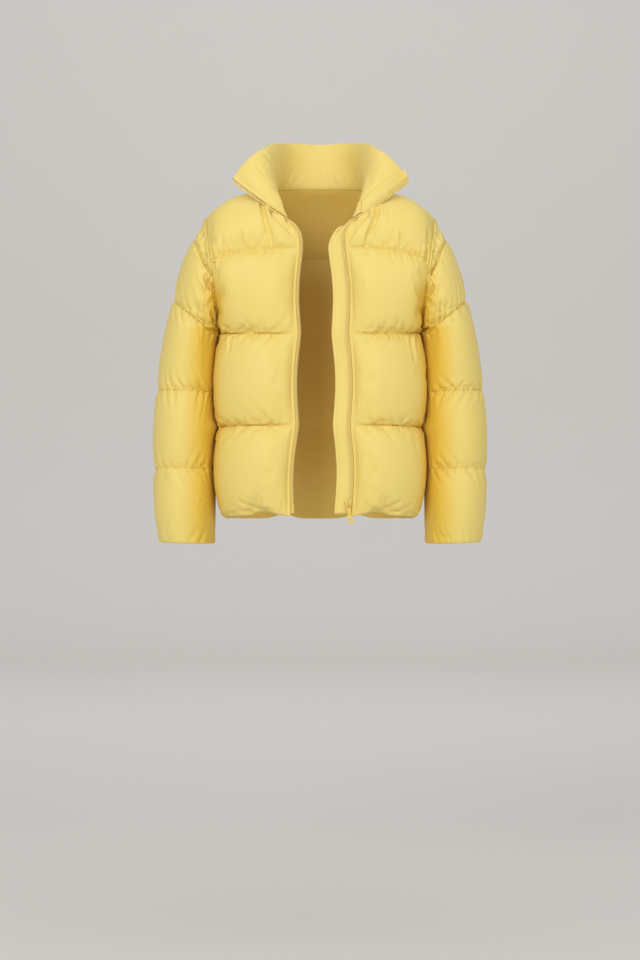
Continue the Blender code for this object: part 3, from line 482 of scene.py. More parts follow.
def sleeve_ring(index, angles, side):
    """Ring points of a sleeve: 0 is the armhole, 1 the cap line, then SLEEVE_RINGS; angle 0 is outermost."""
    if index == 0:
        return armhole(angles, side)
    if index == 1:
        share = CAP_LINE_SHARE + CAP_LINE_RISE * np.clip(np.cos(angles), 0, 1) ** 0.8
        points = mix(armhole(angles, side), sleeve_ring(2, angles, side), share[..., None])
        points[..., 0] += side * CAP_LINE_SWELL * np.clip(np.cos(angles), 0, 1)
        return points
    ring = SLEEVE_RINGS[index - 2]
    across = np.cos(angles)
    x = mix(ring.in_x, ring.out_x, (1 + across) / 2)
    z = mix(ring.in_z, ring.out_z, (1 + across) / 2)
    return np.stack([side * x, ring.y - ring.half_depth * np.sin(angles), z], axis=-1)


def sleeve_walls(angles, rows, side):
    """(outer, inner) grids of a sleeve, closed round the arm; row 0 is the armhole."""
    lines = [sleeve_ring(index, angles, side) for index in range(len(SLEEVE_RINGS) + 2)]
    low = np.clip(np.floor(rows).astype(int), 0, len(lines) - 2)
    base = np.stack([mix(lines[i], lines[i + 1], row - i) for i, row in zip(low, rows)])
    normals = normals_of(base, closed=True) * side
    around = 0.72 + 0.28 * np.abs(np.sin(angles)) - 0.25 * np.clip(-np.cos(angles), 0, 1) ** 2
    lift = row_puff(rows, SLEEVE_PUFF)[:, None] * around[None, :]
    room = np.linalg.norm(lines[1] - lines[0], axis=-1) * 0.35
    lift[rows < 1] = np.minimum(lift[rows < 1], room[None, :])
    ring = np.stack([0 * angles, np.sin(angles), -np.cos(angles)], axis=-1)
    near = (1 - soft_step(rows, 0.0, 0.6))[:, None, None]
    inward = mix(-normals, ring[None], near)
    level = (soft_step(rows, len(lines) - 1.12, len(lines) - 1.0))[:, None]
    inward[..., 2] *= 1 - level
    plain = base + unit(inward) * WALL
    outer = keep_outside(base + normals * lift[..., None], CONTACT_CLEAR)
    inner = keep_outside(plain, CONTACT_CLEAR + WALL)
    gap = np.array([side * SEAM_GAP / 2, 0, 0])
    outer[0], inner[0] = base[0] + gap, plain[0] + gap
    return outer, inner


def collar_base(places, shares):
    """The collar's outer face before it is filled: an array [share of height, place, xyz]."""
    low, high = neck_seam(places), collar_rim(places)
    s = shares[:, None, None]
    points = mix(low[None], high[None], s)
    front = soft_step(np.abs(places), 0.9, 1.5) * (1 - soft_step(np.abs(places), 1.8, 2.0))
    back = 1 - soft_step(np.abs(places), 0.6, 1.1)
    roll = rounded(shares, 1)[:, None]
    points[..., 2] += roll * 0.016 * front[None, :]
    points[..., 1] += roll * 0.008 * back[None, :]
    edge = soft_step(np.abs(places), 1.6, 2.0)
    points[..., 2] -= roll * 0.004 * edge[None, :]
    points[..., 1] -= roll * 0.010 * edge[None, :]
    return points


def collar_walls(places, shares):
    base = collar_base(places, shares)
    normals = -normals_of(base)
    from_end = (2 - np.abs(places)) * 0.13
    crown = np.where(shares > 0.5, mix(1.0, COLLAR_RIM_PUFF, ((shares - 0.5) / 0.5) ** 3), rounded(shares, 0.55))
    lift = COLLAR_PUFF * crown[:, None] * edge_fade(from_end - BAND)[None, :]
    over_yoke = soft_step(np.abs(places), 0.8, 1.3)[None, :] * (1 - soft_step(shares, 0.0, 0.5))[:, None]
    outer = base + normals * (lift * (1 - over_yoke))[..., None]
    inner = base - normals * (WALL + lift)[..., None]
    seam = neck_seam(places) + np.array([0.0, 0.0, 2 * SEAM_GAP])
    outer[0], inner[0] = seam, seam + to_neck(seam) * WALL
    return outer, inner


# ---- panels ------------------------------------------------------------------------------------------------
FRONT_COLUMNS = np.array([0, 0.031, 0.075, 0.14, 0.24, 0.34, 0.45, 0.57, 0.69, 0.80, 0.86, 0.94, 1])


def baffle_rows(count, steps):
    return np.array([index + step for index in range(count) for step in steps] + [count], float)


def both_ways(half):
    return np.concatenate([-half[:0:-1], half])


# ---- zip, wind flap and pocket welts -------------------------------------------------------------------------
# Cross-sections along a front edge, in metres: `across` from the finished edge towards the middle, `out` from the
# wall's outer face.
MID_WALL = -WALL / 2
HALF_TAPE, HALF_TEETH, TEETH_NOSE = 0.0006, 0.0017, 0.0021
FLAP_NEAR, FLAP_DEEP, FLAP_THICK = -0.0037, -0.0055, 0.002
# The wind flap's root and free edge, across from the front edge, by row; rows over TOP run up the collar.
FlapEdge = namedtuple("FlapEdge", "row root reach")
FLAP_EDGES = (
    FlapEdge(0.0, -0.0035, 0.0345),
    FlapEdge(2.8, -0.0035, 0.0345),
    FlapEdge(3.06, 0.0008, 0.0345),
    FlapEdge(3.6, 0.0008, 0.0200),
    FlapEdge(4.0, 0.0008, 0.0115),
    FlapEdge(4.2, -0.0035, 0.0050),
    FlapEdge(4.4, -0.0035, 0.0060),
    FlapEdge(5.0, -0.0035, 0.0085),
)
SLIDER_Z = -0.621
SLIDER_HEIGHT = 0.0130
BOX_HEIGHT, PIN_HEIGHT = 0.0130, 0.0165
TRIM_GAP = 0.0004
PIN_TOP_Z = -0.6245
WELT_FROM, WELT_TO = 0.80, 0.86  # the pocket welt's edges, as shares of the front
WELT_LOW, WELT_HIGH = 0.81, 1.95  # and its ends lie just inside these rows

Frames = namedtuple("Frames", "row point across out")


def body_edge(side, rows):
    """Points and directions up a finished front edge, from the hem to just under the neck seam."""
    points = front_base(FRONT_COLUMNS, rows, side)[:, 0]
    across = np.tile([-side, 0.0, 0.0], (len(rows), 1))
    out = np.tile([0.0, -1.0, 0.0], (len(rows), 1))
    return Frames(rows, points, across, out)


def collar_edge(side, heights):
    """The same up the collar's front edge, from just over the neck seam to its corner."""
    rim = collar_base(side * np.array([1.9, 1.953, 2.0]), heights)
    along = rim[:, -1] - rim[:, -2]
    out = unit(np.cross(np.gradient(rim[:, -1], axis=0), along) * -side)
    across = unit(along - out * (along * out).sum(axis=1, keepdims=True))
    return Frames(TOP + heights, rim[:, -1], across, out)


def place(frames, index, across, out):
    return frames.point[index] + frames.across[index] * across + frames.out[index] * out


def row_at(z):
    """The row of the lowest baffle where the front edge has this height."""
    return (z - BODY_ROWS[0].z_front) / (BODY_ROWS[1].z_front - BODY_ROWS[0].z_front)


# Blocks in the zip's own frame: x to the wearer's left, y backwards, z up, from the slider's middle.
Block = namedtuple("Block", "x0 x1 y0 y1 z0 z1")
CHANNEL = 0.0035  # from the slider's middle to the middle of the teeth
PLATE_GAP, PLATE = 0.0021, 0.0013
PLATE_FACE = -PLATE_GAP - PLATE
ARCH_FACE, ARCH_BAR, ARCH_REACH, ARCH_HALF = -0.0071, 0.0011, 0.0045, 0.0010
PULL_AXIS_Y, PULL_AXIS_Z = -0.0047, -0.0020
PULL_TILT = math.radians(7)  # it hangs a little askew on its loose eye
EYE_BAR = 0.00065
HALF_SLIDER = SLIDER_HEIGHT / 2
BOX_ACROSS, HALF_BOX = (-0.0045, CHANNEL + 0.0028), 0.0019
PIN_ACROSS, HALF_PIN = (-0.0030, 0.0022), 0.0015
# The pull, from its axis: neck and ring, then the window round the arch and the hole in the ring.


# ---- what a user may change ------------------------------------------------------------------------------------
def metres(name, description, default):
    return bpy.props.FloatProperty(
        name=name, description=description, default=default, min=0.0, precision=5, unit="LENGTH"
    )


def tint(name, description, default):
    return bpy.props.FloatVectorProperty(
        name=name, description=description, default=default, size=3, min=0.0, max=1.0, subtype="COLOR"
    )


class JacketSizes(bpy.types.PropertyGroup):
    """Sizes of the cloth, the thread and the zip's teeth."""

    pucker: metres("Pucker height", "How high the gathered cloth stands beside a quilting line", 0.0036)
    pressure: bpy.props.FloatProperty(
        name="Filling pressure", description="How hard the filling pushes the cloth out", default=5.0, min=0.0
    )
    ease: bpy.props.FloatProperty(
        name="Cloth ease", description="Spare cloth between two seams, as a share", default=0.05, min=0.0, max=0.3
    )
    swell: metres("Most swell", "How far the filling may move the cloth", 0.007)
    stitch: metres("Stitch length", "From one stitch to the next", 0.0034)
    thread: metres("Thread radius", "Half the thickness of the sewing thread", 0.00032)
    tooth: metres("Tooth pitch", "From one zip tooth to the next on the same tape", 0.0042)


class JacketColours(bpy.types.PropertyGroup):
    """Base colours of the cloth and the zip."""

    shell: tint("Shell", "Outer cloth", (0.885, 0.705, 0.21))
    lining: tint("Lining", "Inner cloth", (0.86, 0.63, 0.15))
    # The tape's own deeper yellow, made a little darker still as painted shade of the groove between the front band and
    # the teeth and of the gaps between the teeth.
    tape: tint("Zip tape", "Woven tape of the zip", (0.84, 0.6, 0.15))
    teeth: tint("Teeth", "Moulded teeth", (0.94, 0.79, 0.36))
    metal: tint("Slider", "Slider, box, pin and pull", (0.82, 0.60, 0.14))
    sewing: tint("Thread", "Sewing thread", (0.86, 0.62, 0.14))


class JacketStage(bpy.types.PropertyGroup):
    """Floor, backdrop, light and camera."""

    floor: metres("Floor depth", "How far the floor lies below the neck", 1.46)
    pale: tint("Backdrop", "Colour of floor and backdrop", (0.74, 0.725, 0.70))
    key: bpy.props.FloatProperty(
        name="Key light", description="Power of the main soft light", default=88.0, unit="POWER"
    )
    sky: bpy.props.FloatProperty(name="Room light", description="Strength of the light all round", default=0.49)


def sizes():
    return bpy.context.scene.jacket_sizes


def colours():
    return bpy.context.scene.jacket_colours


# ---- materials --------------------------------------------------------------------------------------------------
class Nodes:
    """A material's node tree with short calls to add and join nodes."""

    def __init__(self, name, **constants):
        self.material = bpy.data.materials.new(name)
        self.material.use_nodes = True
        self.tree = self.material.node_tree
        self.shader = self.tree.nodes["Principled BSDF"]
        for socket, value in constants.items():
            self.shader.inputs[socket.replace("_", " ")].default_value = value

    def add(self, kind, settings=None, **values):
        node = self.tree.nodes.new(kind)
        for name, value in (settings or {}).items():
            setattr(node, name, value)
        for name, value in values.items():
            socket = node.inputs[int(name[1:])] if name[1:].isdigit() else node.inputs[name.replace("_", " ")]
            if isinstance(value, bpy.types.NodeSocket):
                self.tree.links.new(value, socket)
            else:
                socket.default_value = value
        return node

    def maths(self, operation, first, second=0.0, third=0.0):
        return self.add("ShaderNodeMath", {"operation": operation}, i0=first, i1=second, i2=third).outputs[0]

    def cloth_uv(self, across, along):
        """Cloth coordinates in metres, times these."""
        uv = self.add("ShaderNodeUVMap", {"uv_map": "cloth"}).outputs[0]
        return self.add("ShaderNodeMapping", i0=uv, Scale=(across, along, 1)).outputs[0]

    def objects(self, scale):
        place = self.add("ShaderNodeTexCoord").outputs["Object"]
        return self.add("ShaderNodeMapping", i0=place, Scale=(scale, scale, scale)).outputs[0]

    def noise(self, vector, scale, detail=2.0, roughness=0.5, distortion=0.0):
        node = self.add("ShaderNodeTexNoise", Vector=vector, Scale=scale, Detail=detail)
        node.inputs["Roughness"].default_value = roughness
        node.inputs["Distortion"].default_value = distortion
        return node.outputs["Fac"]

    def bump(self, height, distance, strength=1.0, below=None):
        node = self.add("ShaderNodeBump", Height=height, Distance=distance, Strength=strength)
        if below is not None:
            self.tree.links.new(below, node.inputs["Normal"])
        return node.outputs["Normal"]

    def colour_between(self, share, first, second):
        mixer = self.add("ShaderNodeMix", {"data_type": "RGBA"}, i0=share, i6=(*first, 1), i7=(*second, 1))
        self.tree.links.new(mixer.outputs[2], self.shader.inputs["Base Color"])

    def finish(self, normal):
        self.tree.links.new(normal, self.shader.inputs["Normal"])
        return self.material


def deeper(colour, share):
    """The same colour, deeper: random tone where the material is denser or worn less, and painted shade on the nylon
    near the seams and between body and sleeve.
    """
    return tuple(value ** (1 + share) for value in colour)


def found(name, make):
    return bpy.data.materials.get(name) or make(name)


def nylon(name, colour, roughness=0.50):
    """Smooth plain-weave nylon over filling: fine weave, small creases that grow towards the seams, random tone, and
    painted shade that deepens the colour near the seams and where body and sleeve press together.
    """
    n = Nodes(name, Roughness=roughness, Sheen_Weight=0.12, Sheen_Roughness=0.4, Specular_IOR_Level=0.4)
    n.shader.inputs["Sheen Tint"].default_value = (1.0, 0.95, 0.8, 1)
    near = n.add("ShaderNodeAttribute", {"attribute_name": "near_seam"}).outputs["Fac"]
    gathered = n.noise(n.cloth_uv(1, 0.16), 120.0, 3.0, 0.55, 0.6)
    crumpled = n.noise(n.cloth_uv(1, 1), 34.0, 4.0, 0.58, 1.3)
    patches = n.noise(n.objects(1), 7.0, 3.0)
    weave = [
        n.add("ShaderNodeTexWave", {"bands_direction": axis}, Vector=n.cloth_uv(1, 1), Scale=430.0).outputs["Fac"]
        for axis in ("X", "Y")
    ]
    pressed = n.add("ShaderNodeAttribute", {"attribute_name": "pressed"}).outputs["Fac"]
    # Painted shade: pressed deepens the colour strongly where body and sleeve press together, near_seam a little
    # towards the seams; patches is random tone of the dye.
    share = n.maths("MULTIPLY_ADD", pressed, 0.9, n.maths("MULTIPLY", near, 0.14))
    n.colour_between(n.maths("MULTIPLY_ADD", patches, 0.22, share), colour, deeper(colour, 0.8))
    normal = n.bump(n.maths("MULTIPLY", *weave), 0.00006, 0.5)
    normal = n.bump(crumpled, 0.0016, 0.30, normal)
    return n.finish(n.bump(n.maths("MULTIPLY", gathered, near), 0.0028, 0.75, normal))


def webbing(name, colour):
    """Woven zip tape: a fine slanting twill."""
    n = Nodes(name, Roughness=0.7, Sheen_Weight=0.3)
    twill = n.add("ShaderNodeTexWave", {"bands_direction": "DIAGONAL"}, Vector=n.cloth_uv(1, 1), Scale=330.0)
    n.colour_between(n.maths("MULTIPLY", n.noise(n.cloth_uv(1, 1), 60.0), 0.8), colour, deeper(colour, 0.3))
    return n.finish(n.bump(twill.outputs["Fac"], 0.0001, 0.7))


def moulded(name, colour):
    """Moulded zip teeth, satin, with faint flow marks."""
    n = Nodes(name, Roughness=0.48, Specular_IOR_Level=0.25)
    flow = n.noise(n.objects(1), 900.0, 2.0)
    n.colour_between(n.maths("MULTIPLY", n.noise(n.objects(1), 70.0), 0.7), colour, deeper(colour, 0.22))
    return n.finish(n.bump(flow, 0.00006, 0.5))


def enamel(name, colour):
    """Enamelled die casting, rubbed brighter in places."""
    n = Nodes(name, Roughness=0.32, Coat_Weight=0.25, Coat_Roughness=0.25)
    rubbed = n.noise(n.objects(1), 420.0, 4.0, 0.6)
    n.colour_between(n.maths("POWER", rubbed, 2.0), deeper(colour, 0.15), tuple(min(1, c * 1.12) for c in colour))
    return n.finish(n.bump(rubbed, 0.00005, 0.6))


def sewing_thread(name, colour):
    """Twisted polyester thread."""
    n = Nodes(name, Roughness=0.6, Sheen_Weight=0.4)
    ply = n.add("ShaderNodeTexWave", {"bands_direction": "DIAGONAL"}, Vector=n.objects(1), Scale=700.0).outputs["Fac"]
    n.colour_between(ply, colour, deeper(colour, 0.35))
    return n.finish(n.bump(ply, 0.00012, 0.8))


def painted_paper(name, colour):
    """Plain matt studio paper."""
    n = Nodes(name, Roughness=0.95, Specular_IOR_Level=0.1)
    n.colour_between(n.noise(n.objects(1), 1.2), colour, tuple(c * 0.985 for c in colour))
    return n.finish(n.bump(n.noise(n.objects(1), 300.0), 0.0001, 0.15))


def shell_cloth():
    return found("yellow nylon shell", lambda name: nylon(name, tuple(colours().shell)))


def lining_cloth():
    return found("yellow nylon lining", lambda name: nylon(name, tuple(colours().lining), 0.44))


# ---- meshes -------------------------------------------------------------------------------------------------------
def lengths(points, axis):
    """Mean arc length along an axis of a grid, from 0."""
    steps = np.linalg.norm(np.diff(points, axis=axis), axis=-1).mean(axis=1 - axis)
    return np.concatenate([[0], np.cumsum(steps)])


def start_grid(rows, columns, across, along, closed):
    """A flat grid whose vertices know their row and column and whose loops hold cloth coordinates in metres."""
    builder = bmesh.new()
    last = columns if closed else columns - 1
    bmesh.ops.create_grid(builder, x_segments=last, y_segments=rows - 1, size=1)
    row, column = (builder.verts.layers.int.new(name) for name in ("row", "column"))
    for vert in builder.verts:
        vert[row] = round((vert.co.y + 1) / 2 * (rows - 1))
        vert[column] = round((vert.co.x + 1) / 2 * last)
    cloth = builder.loops.layers.uv.new("cloth")
    for face in builder.faces:
        for loop in face.loops:
            loop[cloth].uv = (across[loop.vert[column]], along[loop.vert[row]])
    if closed:
        for vert in builder.verts:
            turn = 2 * math.pi * vert[column] / columns
            vert.co = (math.cos(turn), math.sin(turn), vert[row])
            vert[column] %= columns
        bmesh.ops.remove_doubles(builder, verts=builder.verts, dist=1e-4)
    return builder, row, column


def new_object(name, builder, materials, smooth=True):
    mesh = bpy.data.meshes.new(name)
    builder.to_mesh(mesh)
    builder.free()
    if smooth:
        mesh.shade_smooth()
    piece = bpy.data.objects.new(name, mesh)
    bpy.context.scene.collection.objects.link(piece)
    for material in materials:
        piece.data.materials.append(material)
    return piece


def turned_out(builder, towards):
    """Faces recalculated, then turned so that the first vertex's normal points along `towards`."""
    bmesh.ops.recalc_face_normals(builder, faces=builder.faces)
    builder.normal_update()
    builder.verts.ensure_lookup_table()
    vert, direction = towards(builder)
    if vert.normal.dot(direction) < 0:
        bmesh.ops.reverse_faces(builder, faces=builder.faces)


def painted_side_shade(point):
    """1 where body and sleeve press on each other, fading out round there: painted shade, the cloth's colour is
    deepened there as if shaded between body and sleeve.
    """
    if point.z > ARMHOLE_Z:
        return 0.0
    gap = abs(abs(point.x) - float(contact_x(np.array(point.y), np.array(point.z))))
    return math.exp(-((gap / 0.026) ** 2)) * min(1.0, (ARMHOLE_Z - point.z) / 0.06)


def cloth_shell(name, outer, inner, near_seam, closed=False, materials=None):
    """A closed wall of cloth between two grids [row, column, xyz], its outer skin first."""
    rows, columns = outer.shape[:2]
    ring = np.concatenate([outer, outer[:, :1]], axis=1) if closed else outer
    builder, row, column = start_grid(rows, columns, lengths(ring, 1), lengths(ring, 0), closed)
    skin = builder.verts.layers.int.new("skin")
    # near_seam and pressed feed the nylon's painted shade; near_seam also sets the gathers' bump.
    near, pressed = (builder.verts.layers.float.new(name) for name in ("near_seam", "pressed"))
    made = bmesh.ops.extrude_face_region(builder, geom=list(builder.faces), use_keep_orig=True)
    for vert in made["geom"]:
        if isinstance(vert, bmesh.types.BMVert):
            vert[skin] = 1
    for vert in builder.verts:
        i, j = vert[row], vert[column]
        vert.co = (inner if vert[skin] else outer)[i, j]
        vert[near] = float(near_seam[i, j]) * (0.35 if vert[skin] else 1.0)
        # pressed holds painted shade where body and sleeve press together, read by the nylon's colour.
        vert[pressed] = painted_side_shade(vert.co)
    for face in builder.faces:
        face.material_index = int(all(vert[skin] for vert in face.verts))

    def middle(mesh):
        vert = min(mesh.verts, key=lambda v: abs(v[row] - rows // 2) + abs(v[column] - columns // 2) + 9999 * v[skin])
        return vert, Vector(outer[vert[row], vert[column]] - inner[vert[row], vert[column]])

    turned_out(builder, middle)
    return new_object(name, builder, materials or (shell_cloth(), lining_cloth()))


def inflated(points, outward, held, closed=False):
    """The grid after its filling has pushed it out between the seams where it is held, by Blender's cloth."""
    scene = bpy.context.scene
    rows, columns = points.shape[:2]
    builder, row, column = start_grid(rows, columns, np.zeros(columns + 1), np.zeros(rows), closed)
    places = []
    for vert in builder.verts:
        places.append((vert[row], vert[column]))
        vert.co = points[vert[row], vert[column]]
    i, j = np.array(places).T
    middle = places.index((rows // 2, columns // 2))
    turned_out(builder, lambda mesh: (mesh.verts[middle], Vector(outward[rows // 2, columns // 2])))
    piece = new_object("filling", builder, ())
    sewn = piece.vertex_groups.new(name="sewn")
    for index in np.where(held[i, j] > 0)[0]:
        sewn.add([int(index)], float(held[i[index], j[index]]), "REPLACE")
    cloth = piece.modifiers.new("filling", "CLOTH")
    cloth.point_cache.frame_start, cloth.point_cache.frame_end = 1, FILL_FRAMES
    settings = cloth.settings
    settings.quality = 5
    settings.mass = 0.15
    settings.tension_stiffness = settings.compression_stiffness = 14
    settings.shear_stiffness = 3
    settings.bending_stiffness = 0.08
    settings.air_damping = 2
    settings.use_pressure = True
    settings.uniform_pressure_force = sizes().pressure
    settings.shrink_min = -sizes().ease
    settings.vertex_group_mass = "sewn"
    settings.effector_weights.gravity = 0
    for step in range(1, FILL_FRAMES + 1):
        scene.frame_set(step)
    graph = bpy.context.evaluated_depsgraph_get()
    settled = piece.evaluated_get(graph).to_mesh()
    place = np.empty(len(settled.vertices) * 3)
    settled.vertices.foreach_get("co", place)
    piece.evaluated_get(graph).to_mesh_clear()
    bpy.data.objects.remove(piece, do_unlink=True)
    scene.frame_set(1)
    moved = np.zeros_like(points)
    moved[i, j] = place.reshape(-1, 3)
    moved -= points
    far = np.linalg.norm(moved, axis=-1, keepdims=True)
    most = sizes().swell
    return points + moved * most * np.tanh(far / most) / np.maximum(far, 1e-9)


def gathers(across, gap, seed, strength=1.0):
    """Heights of the small folds that run out from a sewn line into the cloth: across and gap are in metres."""
    phase = np.random.default_rng(seed).uniform(0, 2 * math.pi, 10)

    def folds(width, wander, lean, first):
        turns = across / width + wander * np.sin(across / (2.1 * width) + phase[first])
        turns += 0.6 * wander * np.sin(across / (5.3 * width) + phase[first + 1])
        turns += lean * gap / width * np.sin(across / (3.7 * width) + phase[first + 2])
        return np.abs(np.sin(math.pi * turns)) ** 0.8 - 0.62

    patchy = 0.55 + 0.45 * np.sin(across / 0.019 + phase[6]) * np.sin(across / 0.043 + phase[7])
    broad = 0.45 + 0.55 * np.sin(across / 0.031 + phase[8]) ** 2
    short = folds(0.0115, 0.45, 0.5, 0) * patchy * gap / 0.0040 * np.exp(1 - gap / 0.0040)
    long = folds(0.0260, 0.50, 0.8, 3) * broad * gap / 0.0110 * np.exp(1 - gap / 0.0110)
    return strength * sizes().pucker * (0.7 * short + long)


# ---- the filled panels --------------------------------------------------------------------------------------------
FILL_FRAMES = 16
FINE_STEPS = (
    0.0, 0.022, 0.05, 0.085, 0.13, 0.18, 0.24, 0.31, 0.385, 0.46, 0.54, 0.62, 0.69, 0.76, 0.82, 0.87, 0.91, 0.95, 0.98
)
FINE_FRONT = np.concatenate([[0, 0.010, 0.021, 0.031, 0.042, 0.056], np.linspace(0.075, 0.955, 42), [0.975, 1]])
FINE_BACK = np.concatenate([np.linspace(0, 0.955, 56), [0.978, 1]])
SLEEVE_TURNS = 92
HEAD_EASE = 0.0035  # the sleeve head lies this much flatter beside the armhole seam
START_LIFT = 0.93  # the sewn form that the filling starts from, as a share of its full height
LINING_PUFF = 0.0045

# How strongly the cloth is gathered at each quilting line, from the hem or the armhole on.
BODY_GATHER = (0.6, 0.9, 1.0, 0.28, 0.0)
SLEEVE_GATHER = (0.0, 0.1, 1.7, 1.5, 1.15, 0.9)

